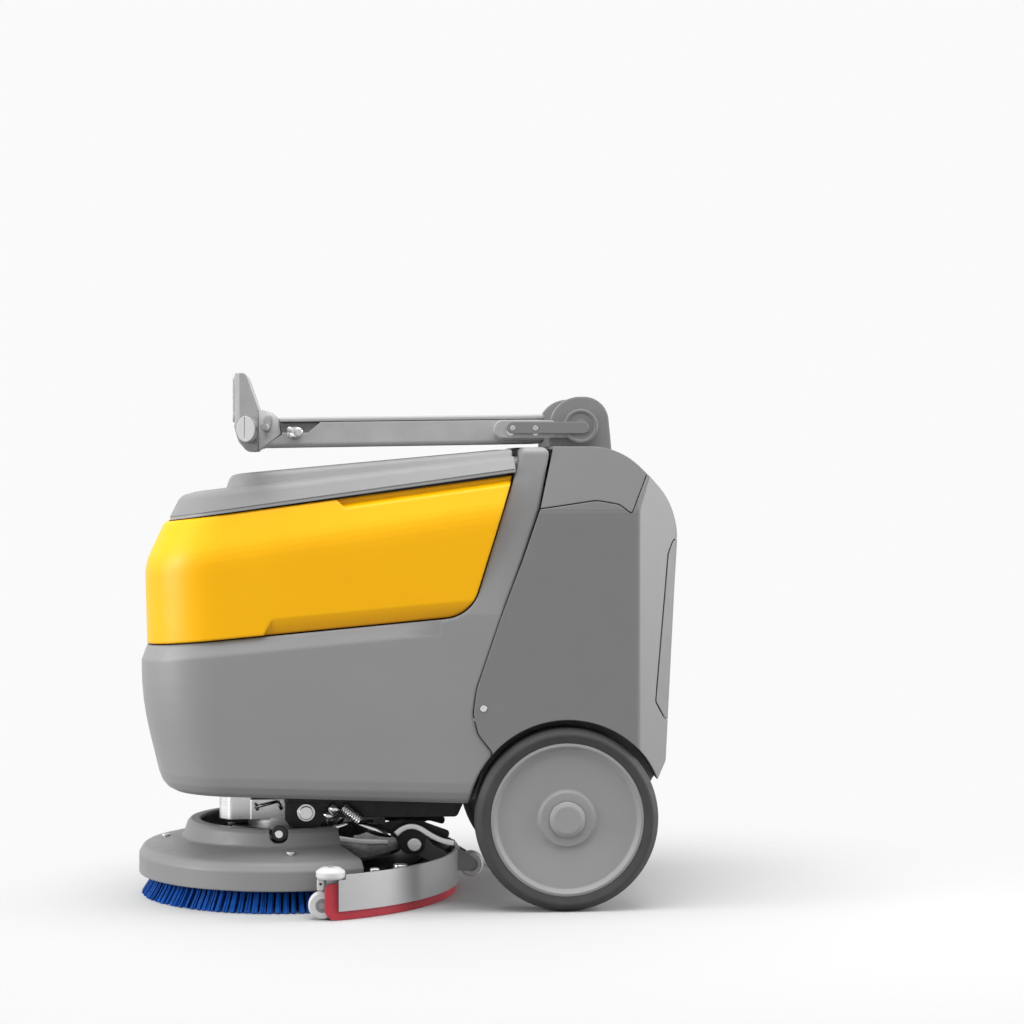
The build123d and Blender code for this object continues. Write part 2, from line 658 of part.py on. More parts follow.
# Pivot bracket: two lugs on a welded frame that stands on the chassis.
lug_outline = [(lug_low_x, 530.0, 0), (lug_low_x, pivot_z + lug_radius, lug_radius),
               (pivot_x + 34.0, pivot_z + lug_radius, 32), (pivot_x + 41.0, 574.0, 10),
               (pivot_x + 44.0, 530.0, 0)]
pivot_bracket = box(lug_low_x + 5, pivot_x + 42, -lug_outer_y, lug_outer_y, 530, 545)
for side in (-1, 1):
    low = min(side * lug_inner_y, side * lug_outer_y)
    high = max(side * lug_inner_y, side * lug_outer_y)
    post = box(191.0, 213.0, side * 90.0 - 9.0, side * 90.0 + 9.0, plate_high_z, 532.0)
    pivot_bracket = joined(pivot_bracket, side_block(lug_outline, low, high), post)
shelf = box(191.0, 306.0, -lug_outer_y, lug_outer_y, shelf_z, shelf_z + 4.0)
pivot_bracket = joined(pivot_bracket, shelf)
pivot_bracket -= rod_y(pivot_x, pivot_z, pivot_radius + run_fit, -200, 200)
save(pivot_bracket, "pivot_bracket")

# Handle arm: a shallow channel with a back cover, links and pivot shaft.
arm_low = [(-182.0, 579.2), (arm_rear_x, 585.0)]
arm_high = [(-160.0, 618.3), (arm_rear_x, 622.7)]
arm_slope = (arm_high[1][1] - arm_high[0][1]) / (arm_high[1][0] - arm_high[0][0])


def arm_top(x):
    return arm_high[0][1] + (x - arm_high[0][0]) * arm_slope


line_drop = cover_thick + joint_line
arm_outline = [(arm_low[0][0], arm_low[0][1], 0), (arm_rear_x, 585.0, 6),
               (arm_rear_x, arm_top(arm_rear_x) - line_drop, 0),
               (-160.0, arm_top(-160.0) - line_drop, 0), (-157.0, 596.5, 2)]
arm_body = side_block(arm_outline, -arm_half, arm_half)
low_edges = arm_body.edges().filter_by_position(Axis.Z, 578.0,
                                                586.0).filter_by(Axis((0, 0, 0), (361.0, 0, 5.8)),
                                                                 tolerance=1.0)
arm_body = arm_body.fillet(6.0, list(low_edges))
channel = side_block([(-150.0, 584.6, 3), (arm_rear_x - 26.0, 590.0, 3), (arm_rear_x - 26.0, 630.0, 0),
                      (-150.0, 630.0, 0)],
                     -arm_half + arm_wall + 5.0, arm_half - arm_wall - 5.0)
handle_arm = arm_body - channel
pad_low = lug_inner_y + lug_thick + moving_gap
pad = [(113.0, 589.6, 10), (arm_rear_x, 589.6, 4), (arm_rear_x, 611.0, 4), (113.0, 611.0, 10)]
notch = [(-170.0, 598.5, 0), (-124.0, 598.5, 3), (-103.4, 616.3, 2), (-103.4, 630.0, 0),
         (-170.0, 630.0, 0)]
notch_depth = 6.0
for side in (-1, 1):
    low = side * (arm_half - 2.0)
    high = side * pad_low
    handle_arm = joined(handle_arm, side_block(pad, min(low, high), max(low, high)))
    low = side * (arm_half - notch_depth)
    high = side * (arm_half + 5.0)
    handle_arm -= side_block(notch, min(low, high), max(low, high))
arm_cover = side_block([(-160.0, arm_top(-160.0) - cover_thick, 0),
                        (arm_rear_x, arm_top(arm_rear_x) - cover_thick, 0),
                        (arm_rear_x, arm_top(arm_rear_x), 4), (-160.0, arm_top(-160.0), 0)], -arm_half,
                       arm_half)
rib = side_block([(-138.0, 600.0, 0), (arm_rear_x - 28.0, 600.0, 0),
                  (arm_rear_x - 28.0, arm_top(150.0) - cover_thick + 2, 0),
                  (-138.0, arm_top(-138.0) - cover_thick + 2, 0)], -3.0, 3.0)
long_edges = arm_cover.edges().filter_by_position(Axis.Z, arm_high[0][1] - 0.5, arm_high[1][1] + 0.5)
long_edges = long_edges.filter_by(Axis((0, 0, 0), (1, 0, arm_slope)), tolerance=1.0)
arm_cover = joined(arm_cover.fillet(3.5, list(long_edges)), rib)
for x in (-120.0, 140.0):
    foot = box(x - 8.0, x + 8.0, -arm_half + 12.0, arm_half - 12.0, arm_top(x) - line_drop - 6.0,
               arm_top(x) - cover_thick + 1.0)
    arm_cover = joined(arm_cover, foot)
link_y = pad_low
link_out = link_y + link_thick
link_low_x = 127.5
link_high_x = pivot_x + 11.0
link_z = 600.0
link_bars = []
link_screws = []
for side in (-1, 1):
    low = min(side * link_y, side * link_out)
    high = max(side * link_y, side * link_out)
    bar = side_block([(link_low_x, link_z - link_height / 2, 7.6),
                      (link_high_x, link_z - link_height / 2, 7.6),
                      (link_high_x, link_z + link_height / 2 + 3, 9),
                      (link_low_x, link_z + link_height / 2, 7.6)], low, high)
    bar = joined(bar, rod_y(pivot_x, pivot_z, 16.0, low, high))
    bar -= rod_y(pivot_x, pivot_z, pivot_radius, low - 5, high + 5)
    for x in (134.5, 166.0):
        bar -= rod_y(x, link_z, 3.0, low - 5, high + 5)
        tip = side * (link_y - 8.0)
        head = side * (link_out + 1.6)
        shank = rod_y(x, link_z, 3.0, min(tip, head), max(tip, head))
        plate = rod_y(x, link_z, 5.0, min(side * link_out, head), max(side * link_out, head))
        link_screws.append(joined(shank, plate))
        handle_arm -= shank
    link_bars.append(bar)
shaft_end = link_out + disc_thick
pivot_shaft = rod_y(pivot_x, pivot_z, pivot_radius, -shaft_end, shaft_end)
disc_profile = [(0, link_out, 0), (disc_radius, link_out, 0), (disc_radius, shaft_end, 1.5),
                (disc_radius - 4, shaft_end, 0.8), (disc_radius - 5, shaft_end - 1.2, 0),
                (0, shaft_end - 1.2, 0)]
for side in (-1, 1):
    pivot_shaft = joined(pivot_shaft, turned_side(pivot_x, pivot_z, side, disc_profile))
save(arm_cover, "arm_cover")
save(group(*link_bars), "link_bars")
save(group(*link_screws), "link_screws")
save(pivot_shaft, "pivot_shaft")

# Head: housing, console with its panel and buttons, grips and triggers.
console_x = -220.0
panel_thick = 2.8
console_rear_x = -187.6
housing_half = 74.0
head_housing = side_block([(console_rear_x + 0.3, 629.6, 2), (-168.0, 624.2, 5), (-161.6, 618.3, 3),
                           (-158.4, 597.0, 4),
                           (-183.4, 578.2, 3), (console_rear_x + 0.3, 577.0, 0)], -housing_half,
                          housing_half)
head_housing -= side_block([(console_rear_x + 9.0, 618.0, 3), (-170.0, 612.0, 3), (-168.0, 600.0, 3),
                            (console_rear_x + 9.0, 588.0, 3)],
                           -housing_half + 16.0, housing_half - 16.0)
console_low = [(console_x + panel_thick, 675.0, 2), (-203.5, 675.0, 6), (console_rear_x, 629.5, 0),
               (console_rear_x, 574.6, 4),
               (-201.0, 573.6, 12), (-213.0, 588.0, 12), (-219.0, 609.0, 10),
               (console_x + panel_thick, 612.0, 0)]
console = side_block(console_low, -console_half, console_half)
panel_half = console_half - 5.0
control_panel = cross_block([(-panel_half, 612.5, 8), (panel_half, 612.5, 8), (panel_half, 673.0, 8),
                             (-panel_half, 673.0, 8)],
                            console_x, console_x + panel_thick)
button_z = 645.0
button_room = 0.5
button_names = ("brush_button", "suction_button", "water_button")
for i in range(3):
    y = (i - 1) * button_pitch
    room = rod((console_x - 5.0, y, button_z), (console_x + 12.0, y, button_z),
               button_radius + button_room)
    console -= room
    control_panel -= room
    button = rod((console_x, y, button_z), (console_x + 8.0, y, button_z), button_radius)
    save(button, button_names[i])
grip_half_x = 12.0
grip_half_z = 16.5
cap_thick = 4.0


def oval_bar(half_x, half_z, y_low, y_high):
    place = Plane(origin=(grip_x, y_high, grip_z), x_dir=(1, 0, 0), z_dir=(0, -1, 0))
    rim = Wire([Edge.make_ellipse(half_x, half_z, place)])
    return Solid.extrude(Face(rim), Vector(0, y_low - y_high, 0))


grip_bars = []
grip_caps = []
for side, label in ((-1, "left"), (1, "right")):
    ends = sorted((side * console_half, side * (grip_end_y - cap_thick)))
    grip_bars.append(oval_bar(grip_half_x, grip_half_z, ends[0], ends[1]))
    ends = sorted((side * (grip_end_y - cap_thick), side * grip_end_y))
    end_cap = oval_bar(grip_half_x - 0.6, grip_half_z - 0.6, ends[0], ends[1])
    slit = sorted((side * (grip_end_y - 1.2), side * (grip_end_y + 1.0)))
    end_cap -= box(grip_x - 1.4, grip_x - 0.4, slit[0], slit[1], grip_z - 11.0, grip_z + 15.0)
    grip_caps.append(end_cap)
    pin = sorted((side * (housing_half - 12.0), side * (housing_half + 7.0)))
    head_housing -= rod_y(trigger_pivot_x, trigger_pivot_z, trigger_pin_radius + run_fit,
                          *sorted((side * 60.0, side * 80.0)))
    plate = sorted((side * (housing_half + 1.0), side * (housing_half + 7.0)))
    crank = [(trigger_pivot_x - 5.0, trigger_pivot_z + 5.0, 3.6), (trigger_x - 4.5, trigger_z - 4.5, 3.2),
             (trigger_x + 4.5, trigger_z - 4.5, 3.2), (trigger_pivot_x + 5.0, trigger_pivot_z + 5.0, 3.6)]
    bar = sorted((side * (housing_half + 1.0), side * (grip_end_y - 14.0)))
    trigger = joined(side_block(crank, plate[0], plate[1]), rod_y(trigger_x, trigger_z, 4.2, bar[0],
                                                                  bar[1]),
                     rod_y(trigger_pivot_x, trigger_pivot_z, trigger_pin_radius, pin[0], pin[1]))
    save(trigger, label + "_trigger")
save(head_housing, "head_housing")
save(console, "console")
save(control_panel, "control_panel")
save(group(*grip_bars), "grip_bars")
save(group(*grip_caps), "grip_caps")

# Lift lever on the arm's left side, in a raised boss.
wall_y = -arm_half + notch_depth
boss_y = wall_y - 7.0
handle_arm = joined(handle_arm, rod_y(lever_x, lever_z, 8.0, boss_y, wall_y + 1.0))
lever_out = -arm_half - 16.0
lift_lever = joined(rod_y(lever_x, lever_z, lever_pin_radius, lever_out, -arm_half + arm_wall + 4.0),
                    side_block([(lever_x + 5.0, lever_z + 5.0, 4.8), (lever_x - 14.0, lever_z + 8.0, 4.0),
                                (lever_x - 10.0, lever_z, 2.0), (lever_x - 14.0, lever_z - 7.0, 4.0),
                                (lever_x + 5.0, lever_z - 5.0, 4.8)], lever_out, lever_out + 8.0))
save(lift_lever, "lift_lever")
handle_arm -= rod_y(lever_x, lever_z, lever_pin_radius + run_fit, -arm_half - 12.0,
                    -arm_half + arm_wall + 6.0)
save(handle_arm, "handle_arm")

# Deck: turned cover with an open collar and the rear sector cut out, over a steel plate.
cover_profile = [(skirt_radius, skirt_low_z, 1), (skirt_radius, 53.0, 6), (skirt_radius - 6.0, 63.0, 8),
                 (152.0, 71.5, 12), (collar_radius + 10.0, 74.0, 4),
                 (collar_radius + 4.0, collar_top_z - 4.0, 4), (collar_radius, collar_top_z, 2),
                 (collar_radius - collar_rim, collar_top_z, 1),
                 (collar_radius - collar_rim, collar_top_z - 5.0, 1),
                 (collar_radius - 2.0, collar_top_z - 6.0, 3), (collar_radius + 4.0, 70.5, 5),
                 (148.0, 67.5, 8), (skirt_radius - 10.0, 58.5, 6),
                 (skirt_radius - deck_wall, 52.0, 4),
                 (skirt_radius - deck_wall, skirt_low_z, 0)]
deck_cover = turned_z(deck_x, 0.0, cover_profile)
reach = 2.2 * skirt_radius
sector = plan_block([(deck_x, 0, 0), (deck_x + reach * math.cos(math.radians(cutout_angle)),
                                      -reach * math.sin(math.radians(cutout_angle)), 0),
                     (deck_x + reach, 0, 0), (deck_x + reach * math.cos(math.radians(cutout_angle)),
                                              reach * math.sin(math.radians(cutout_angle)), 0)], 0, 140)
deck_cover -= sector
rod_x = -161.0
rod_y_place = -118.0
rod_height = 90.0
rod_head_radius = 10.0
notch_half = rod_head_radius + 2.0
notch_low_z = rod_height - rod_head_radius - 0.5
deck_cover -= side_block([(rod_x - notch_half, notch_low_z, 10), (rod_x + notch_half, notch_low_z, 10),
                          (rod_x + notch_half, collar_top_z + 20.0, 0),
                          (rod_x - notch_half, collar_top_z + 20.0, 0)],
                         rod_y_place - 30.0, rod_y_place + 14.0)
deck_plate_top = deck_plate_z + deck_plate_thick
deck_plate_radius = 168.0
rear_plate_radius = 150.0
deck_plate = rod_z(deck_x, 0, deck_plate_radius, deck_plate_z, deck_plate_top) - sector
deck_plate = joined(deck_plate, rod_z(deck_x, 0, rear_plate_radius, deck_plate_z, deck_plate_top))
lug_profile = [(yoke_x - 24.0, deck_plate_z, 0), (yoke_x - 12.0, yoke_z + 12.0, 11.5),
               (yoke_x + 12.0, yoke_z + 12.0, 11.5),
               (yoke_x + 20.0, deck_plate_z, 0)]
for side in (-1, 1):
    ends = sorted((side * yoke_inner_y, side * (yoke_inner_y + yoke_lug_thick)))
    deck_plate = joined(deck_plate, side_block(lug_profile, ends[0], ends[1]))
deck_plate -= rod_y(yoke_x, yoke_z, yoke_radius + run_fit, -200, 200)
deck_plate -= rod_z(deck_x, 0, shaft_radius + 6.0, 0, 100)
screw_circle = 160.0
deck_screws = []
for turn in (88.0, 178.0, 272.0):
    x = deck_x + screw_circle * math.cos(math.radians(turn))
    y = screw_circle * math.sin(math.radians(turn))
    shank = rod_z(x, y, 3.0, deck_plate_z, 70.3)
    deck_cover -= joined(shank, rod_z(x, y, 6.0, 70.3, 80.0))
    deck_plate -= shank
    deck_screws.append(joined(shank, rod_z(x, y, 5.5, 70.3, 73.0)))
save(deck_cover, "deck_cover")
save(deck_plate, "deck_plate")
save(group(*deck_screws), "deck_screws")
pull_rod = joined(rod((rod_x - 62.0, rod_y_place + 44.0, rod_height + 4.0),
                      (rod_x, rod_y_place + 2.0, rod_height), 3.0),
                  rod_y(rod_x, rod_height, rod_head_radius, rod_y_place - 4.0, rod_y_place + 4.0),
                  rod_y(rod_x, rod_height, 5.0, rod_y_place - 8.0, rod_y_place),
                  rod_z(rod_x - 62.0, rod_y_place + 44.0, 4.5, deck_plate_top, rod_height + 8.0))
save(pull_rod, "pull_rod")
block_low_z = 98.0
step_z = 124.0
block_high_z = 128.0
gearbox = turned_z(deck_x, 0.0, [(shaft_radius + run_fit, deck_plate_top, 0),
                                 (spigot_radius, deck_plate_top, 0),
                                 (spigot_radius, block_low_z + 2, 0), (0.0, block_low_z + 2, 0),
                                 (0.0, 82.0, 0),
                                 (shaft_radius + run_fit, 82.0, 0)])
gearbox = joined(gearbox,
                 plan_block([(-240.0, -30.0, 10), (-226.0, -44.0, 10), (-196.0, -44.0, 4),
                             (-196.0, 44.0, 4), (-226.0, 44.0, 10),
                             (-240.0, 30.0, 10)], block_low_z, block_high_z),
                 plan_block([(-200.0, -47.0, 3), (-146.0, -47.0, 14), (-128.0, -28.0, 14),
                             (-128.0, 28.0, 14), (-146.0, 47.0, 14),
                             (-200.0, 47.0, 3)], block_low_z, step_z))
save(gearbox, "gearbox")
brush_motor = turned_z(motor_x, 0.0, [(0, block_high_z, 0), (motor_radius - 6, block_high_z, 0),
                                      (motor_radius - 6, block_high_z + 6, 0),
                                      (motor_radius, block_high_z + 6, 1),
                                      (motor_radius, motor_top_z - 8, 6),
                                      (motor_radius - 14, motor_top_z, 4), (0, motor_top_z, 0)])
save(brush_motor, "brush_motor")

# Brush: hub on the gearbox shaft, plate, and four rings of bristle tufts.
plate_top_z = brush_plate_low_z + brush_plate_thick
brush_hub = turned_z(deck_x, 0.0, [(0, brush_plate_low_z + 4.0, 0), (34.0, brush_plate_low_z + 4.0, 0),
                                   (34.0, plate_top_z + 4.0, 2),
                                   (shaft_radius, plate_top_z + 4.0, 0), (shaft_radius, 80.0, 2),
                                   (0, 80.0, 0)])
brush_plate = turned_z(deck_x, 0.0, [(34.0, brush_plate_low_z + 2.0, 0),
                                     (brush_plate_radius, brush_plate_low_z + 2.0, 0),
                                     (brush_plate_radius, plate_top_z - 3.0, 2), (60.0, plate_top_z, 3),
                                     (34.0, plate_top_z, 0)])
brush_plate = joined(brush_plate, brush_hub)
save(brush_plate, "brush_plate")
backing = turned_z(deck_x, 0.0, [(110.0, brush_plate_low_z, 0), (brush_plate_radius, brush_plate_low_z, 0),
                                 (brush_plate_radius, brush_plate_low_z + 2.0, 0),
                                 (110.0, brush_plate_low_z + 2.0, 0)])
tuft_root = 5.6
tuft_tip = 4.4
tuft_rings = [(120, 168.0, brush_tip_radius - tuft_tip / 2), (100, 152.0, 162.0), (80, 136.0, 141.0),
              (60, 120.0, 121.0)]
tufts = []
for count, root, tip in tuft_rings:
    for i in range(count):
        turn = 360.0 * i / count
        along = Vector(math.cos(math.radians(turn)), math.sin(math.radians(turn)), 0)
        wires = []
        for radius, z, size in ((tip, 0.0, tuft_tip), (root, brush_plate_low_z + 0.4, tuft_root)):
            place = Plane(Vector(deck_x, 0, z) + along * radius, x_dir=along, z_dir=(0, 0, 1))
            wires.append(Wire.make_rect(size, size, place))
        tufts.append(Solid.make_loft(wires, True))
brush_bristles = backing.fuse(*tufts)
save(brush_bristles, "brush_bristles")

# Swivel ring round the gearbox, with ears and a pin for the squeegee arm.
ring_inner = spigot_radius + run_fit
ring_outer = ring_inner + ring_width
swivel_ring = rod_z(deck_x, 0, ring_outer, ring_low_z, ring_high_z)
ear_inner = 24.0
ear_thick = 8.0
ear = [(deck_x + ring_outer - 12.0, ring_low_z, 0), (lift_x + 4.0, ring_low_z, 3),
       (lift_x + 9.0, lift_z - 2.0, 8),
       (lift_x + 6.0, lift_z + 9.0, 7), (lift_x - 8.0, lift_z + 9.0, 6),
       (deck_x + ring_outer - 12.0, ring_high_z, 0)]
for side in (-1, 1):
    ends = sorted((side * ear_inner, side * (ear_inner + ear_thick)))
    swivel_ring = joined(swivel_ring, side_block(ear, ends[0], ends[1]))
swivel_ring -= rod_z(deck_x, 0, ring_inner, 0, 200)
pin_end = ear_inner + ear_thick + 3.0
swivel_ring = joined(swivel_ring, rod_y(lift_x, lift_z, lift_radius, -pin_end, pin_end))
save(swivel_ring, "swivel_ring")

# Squeegee arm: middle bar on the ring's pin, cross bar, and two side cheeks with lobes.
bar_half = ear_inner - moving_gap
cheek_inner = 60.0
cheek_thick = 8.0
squeegee_arm = side_block([(lift_x - 9.0, lift_z - 8.0, 8), (lift_x + 12.0, 73.0, 10), (-40.0, 80.0, 8),
                           (-24.0, 80.0, 2), (-24.0, 93.0, 4),
                           (-46.0, 93.0, 10), (lift_x - 9.0, lift_z + 9.0, 8)], -bar_half, bar_half)
squeegee_arm = joined(squeegee_arm, side_block([(-42.0, 80.0, 3), (-24.0, 80.0, 3), (-24.0, 93.0, 4),
                                                (-42.0, 93.0, 4)],
                                               -cheek_inner - cheek_thick, cheek_inner + cheek_thick))
lobe = [(-44.0, 80.0, 4), (-14.0, 80.0, 12), (tilt_x - 14.0, tilt_z - 13.0, 12),
        (tilt_x + 12.0, tilt_z - 13.0, 12),
        (tilt_x + 15.0, 82.0, 10), (56.0, 74.0, 4), (58.0, 83.0, 4), (20.0, 97.0, 20), (-6.0, 99.0, 20),
        (-30.0, 94.0, 6),
        (-44.0, 92.0, 4)]
for side in (-1, 1):
    ends = sorted((side * cheek_inner, side * (cheek_inner + cheek_thick)))
    squeegee_arm = joined(squeegee_arm, side_block(lobe, ends[0], ends[1]))
squeegee_arm -= rod_y(lift_x, lift_z, lift_radius + run_fit, -200, 200)
squeegee_arm -= rod_y(tilt_x, tilt_z, tilt_radius, -200, 200)
save(squeegee_arm, "squeegee_arm")
outer = cheek_inner + cheek_thick
tilt_profile = [(0, cheek_inner - 14.0, 0), (tilt_radius, cheek_inner - 14.0, 0), (tilt_radius, outer, 0),
                (9.0, outer, 0), (9.0, outer + 6.0, 1.2), (0, outer + 6.0, 0)]
tilt_bolts = [turned_side(tilt_x, tilt_z, side, tilt_profile) for side in (-1, 1)]
save(group(*tilt_bolts), "tilt_bolts")


def arc_band(inner, outer, angle, z_low, z_high):
    """Curved bar about the squeegee's centre, symmetric about the machine's middle."""
    points = []
    for radius in (inner, outer):
        ends = [Vector(squeegee_x + radius * math.cos(math.radians(a)), radius * math.sin(math.radians(a)),
                       z_low)
                for a in (-angle, 0.0, angle)]
        points.append(ends)
    near, far = points
    rim = Wire([Edge.make_three_point_arc(near[0], near[1], near[2]), Edge.make_line(near[2], far[2]),
                Edge.make_three_point_arc(far[2], far[1], far[0]), Edge.make_line(far[0], near[0])])
    return Solid.extrude(Face(rim), Vector(0, 0, z_high - z_low))


# Squeegee: frame between two blades, silver strip outside, rollers at the ends and the rear.
strip_inner = squeegee_radius - strip_thick
blade_outer = strip_inner
frame_outer = blade_outer - blade_thick
frame_inner = frame_outer - frame_width
frame_angle = 60.0
blade_extra = 3.5
blade_top_z = 45.0
bumper_low_z = frame_high_z + 1.0
squeegee_strip = arc_band(strip_inner, squeegee_radius, squeegee_angle, strip_low_z, strip_high_z)
for side in (-1, 1):
    squeegee_strip -= rod_z(bumper_x, side * bumper_y, bumper_radius + 1.2, bumper_low_z - 1.0, 100.0)
save(squeegee_strip, "squeegee_strip")
rear_blade = arc_band(frame_outer, blade_outer, squeegee_angle + blade_extra, 0.0, blade_top_z)
front_blade = arc_band(frame_inner - blade_thick, frame_inner, frame_angle, 0.0, 37.0)
end_turn = squeegee_angle + blade_extra
centre = Pos(squeegee_x, 0, 0)
for corner, edge_z, rise in ((blade_corner, 0.0, 1.0), (blade_top_corner, blade_top_z, -1.0)):
    bend = [(-2.0, edge_z - 2.0 * rise, 0), (corner, edge_z - 2.0 * rise, 0), (corner, edge_z, 0)]
    for turn in (22.5, 45.0, 67.5):
        bend.append((corner * (1.0 - math.sin(math.radians(turn))),
                     edge_z + rise * corner * (1.0 - math.cos(math.radians(turn))), 0))
    bend += [(0.0, edge_z + rise * corner, 0), (-2.0, edge_z + rise * corner, 0)]
    waste = cross_block(bend, frame_outer - 5.0, blade_outer + 5.0)
    rear_blade -= waste.moved(centre * Rot(0, 0, -end_turn))
    rear_blade -= waste.mirror(Plane.XZ).moved(centre * Rot(0, 0, end_turn))
save(group(rear_blade, front_blade), "squeegee_blades")
frame = arc_band(frame_inner, frame_outer, frame_angle, frame_low_z, frame_high_z)
mount_inner = cheek_inner - moving_gap - 9.0
mount_outer = cheek_inner - moving_gap
mount = [(tilt_x - 11.0, tilt_z - 11.0, 10), (tilt_x + 6.0, tilt_z - 16.0, 6), (40.0, 40.0, 0),
         (52.0, 40.0, 0),
         (56.0, frame_high_z + 3.0, 4), (36.0, 64.0, 8), (tilt_x + 10.0, tilt_z + 11.0, 10),
         (tilt_x - 11.0, tilt_z + 11.0, 10)]
hole = rod_y(tilt_x, tilt_z, tilt_radius + run_fit, -200, 200)
port_x = 48.0
for side in (-1, 1):
    ends = sorted((side * mount_inner, side * mount_outer))
    frame = joined(frame, side_block(mount, ends[0], ends[1]) - hole)
port_top_z = frame_high_z + port_height
port = turned_z(port_x, 0.0, [(port_bore, frame_high_z, 0), (port_bore, port_top_z, 0),
                              (port_radius - 2.0, port_top_z, 1), (port_radius, port_top_z - 5.0, 0),
                              (port_radius - 1.5, port_top_z - 5.0, 0),
                              (port_radius - 1.5, frame_high_z - 2.0, 0),
                              (0.0, frame_high_z - 2.0, 0), (0.0, frame_high_z, 0)])
frame = joined(frame, port)
intake_radius = 5.0
frame -= rod_z(port_x + port_bore - intake_radius - 1.5, 0, intake_radius, 0, port_top_z)
support_x = -106.0
support_y = 228.5
pin_radius = 4.0
frame_mid = (frame_inner + frame_outer) / 2
end_x = squeegee_x + frame_mid * math.cos(math.radians(frame_angle))
end_y = frame_mid * math.sin(math.radians(frame_angle))
fork_half = 12.0
for side in (-1, 1):
    run = Vector(bumper_x - end_x, side * (bumper_y - end_y), 0).normalized()
    across_run = Vector(-run.Y, run.X, 0) * 6.5
    start = Vector(end_x, side * end_y, 0) - run * 8.0
    stop = Vector(bumper_x, side * bumper_y, 0)
    corners = [start + across_run, stop + across_run, stop - across_run, start - across_run]
    plate = plan_block([(c.X, c.Y, 0) for c in corners], frame_high_z - 4.0, frame_high_z)
    plate = joined(plate, rod_z(bumper_x, side * bumper_y, 6.5, frame_high_z - 4.0,
                                bumper_low_z - moving_gap),
                   rod_z(bumper_x, side * bumper_y, pin_radius, frame_high_z - 4.0,
                         bumper_low_z + bumper_thick + 1.5))
    ends = sorted((side * (support_y - support_thick / 2 - moving_gap),
                   side * (support_y - support_thick / 2 - moving_gap - 6.0)))
    carrier = side_block([(support_x - 7.0, support_radius - 7.0, 6),
                          (support_x + 8.0, support_radius - 7.0, 4), (end_x + 1.0, frame_low_z, 0),
                          (end_x + 1.0, frame_low_z + 14.0, 2), (support_x - 7.0, support_radius + 7.0, 6)],
                         ends[0], ends[1])
    tip = sorted((side * (support_y - support_thick / 2 - 4.0),
                  side * (support_y + support_thick / 2 + 1.5)))
    frame = joined(frame, plate, carrier, rod_y(support_x, support_radius, pin_radius, tip[0], tip[1]))
    rim_low = bumper_low_z + 2.5
    rim_high = bumper_low_z + bumper_thick - 5.0
    crown = bumper_low_z + bumper_thick
    bore = pin_radius + run_fit
    bumper = turned_z(bumper_x, side * bumper_y,
                      [(bore, bumper_low_z, 0), (bumper_radius - 2.0, bumper_low_z, 1),
                       (bumper_radius, rim_low, 1.5),
                       (bumper_radius, rim_high, 3), (bumper_radius - 6.0, crown - 0.8, 5),
                       (bore + 3.0, crown, 2),
                       (bore, crown, 0)])
    label = "left" if side < 0 else "right"
    save(bumper, label + "_bumper_roller")
    low = support_y - support_thick / 2
    high = support_y + support_thick / 2
    profile = [(pin_radius + run_fit, low, 0), (support_radius - 2, low, 1), (support_radius, low + 3, 2),
               (support_radius, high - 3, 2),
               (support_radius - 2, high, 1), (pin_radius + run_fit, high, 0)]
    support = turned_y(support_x, support_radius, [(r, side * y, f) for r, y, f in profile])
    save(support, label + "_support_wheel")
fork_low = squeegee_x + squeegee_radius - 0.6
roller_fork = box(fork_low, fork_low + 3.0, -fork_half - 5.0, fork_half + 5.0, 24.0, 52.0)
fork_side = [(fork_low, 24.0, 0), (rear_roller_x, rear_roller_z - 7.0, 6),
             (rear_roller_x + 7.0, rear_roller_z, 6),
             (rear_roller_x + 4.0, rear_roller_z + 9.0, 6), (fork_low + 3.0, 52.0, 0), (fork_low, 52.0, 0)]
for side in (-1, 1):
    ends = sorted((side * (fork_half + 0.6), side * (fork_half + 5.0)))
    roller_fork = joined(roller_fork, side_block(fork_side, ends[0], ends[1]))
roller_fork -= arc_band(200.0, squeegee_radius, 20.0, 0.0, 100.0)
roller_fork -= rod_y(rear_roller_x, rear_roller_z, rear_roller_radius + 1.0, -fork_half - 0.6,
                     fork_half + 0.6)
roller_fork = joined(roller_fork, rod_y(rear_roller_x, rear_roller_z, pin_radius, -fork_half - 5.0,
                                        fork_half + 5.0))
save(joined(frame, roller_fork), "squeegee_frame")
rear_roller = turned_y(rear_roller_x, rear_roller_z, [(pin_radius + run_fit, -fork_half, 0),
                                                      (rear_roller_radius - 2, -fork_half, 1),
                                                      (rear_roller_radius, -fork_half + 3, 2),
                                                      (rear_roller_radius, fork_half - 3, 2),
                                                      (rear_roller_radius - 2, fork_half, 1),
                                                      (pin_radius + run_fit, fork_half, 0)])
save(rear_roller, "rear_roller")
knob_radius = 9.0
small_knob_radius = 6.0
knob_circle = strip_inner - knob_radius - moving_gap
knobs = []
for turn in (-53.0, -43.0, 43.0, 53.0):
    size = knob_radius if abs(turn) < 50 else small_knob_radius
    x = squeegee_x + knob_circle * math.cos(math.radians(turn))
    y = knob_circle * math.sin(math.radians(turn))
    knobs.append(turned_z(x, y, [(0, frame_high_z, 0), (size - 3, frame_high_z, 0),
                                 (size, frame_high_z + 3, 1), (size, frame_high_z + 8, 1.5),
                                 (0, frame_high_z + 8, 0)]))
save(group(*knobs), "squeegee_knobs")
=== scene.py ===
"""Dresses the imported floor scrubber: finishes for its CAD nodes, brush tufts, small linkage parts,
edge forms and the studio."""

import math

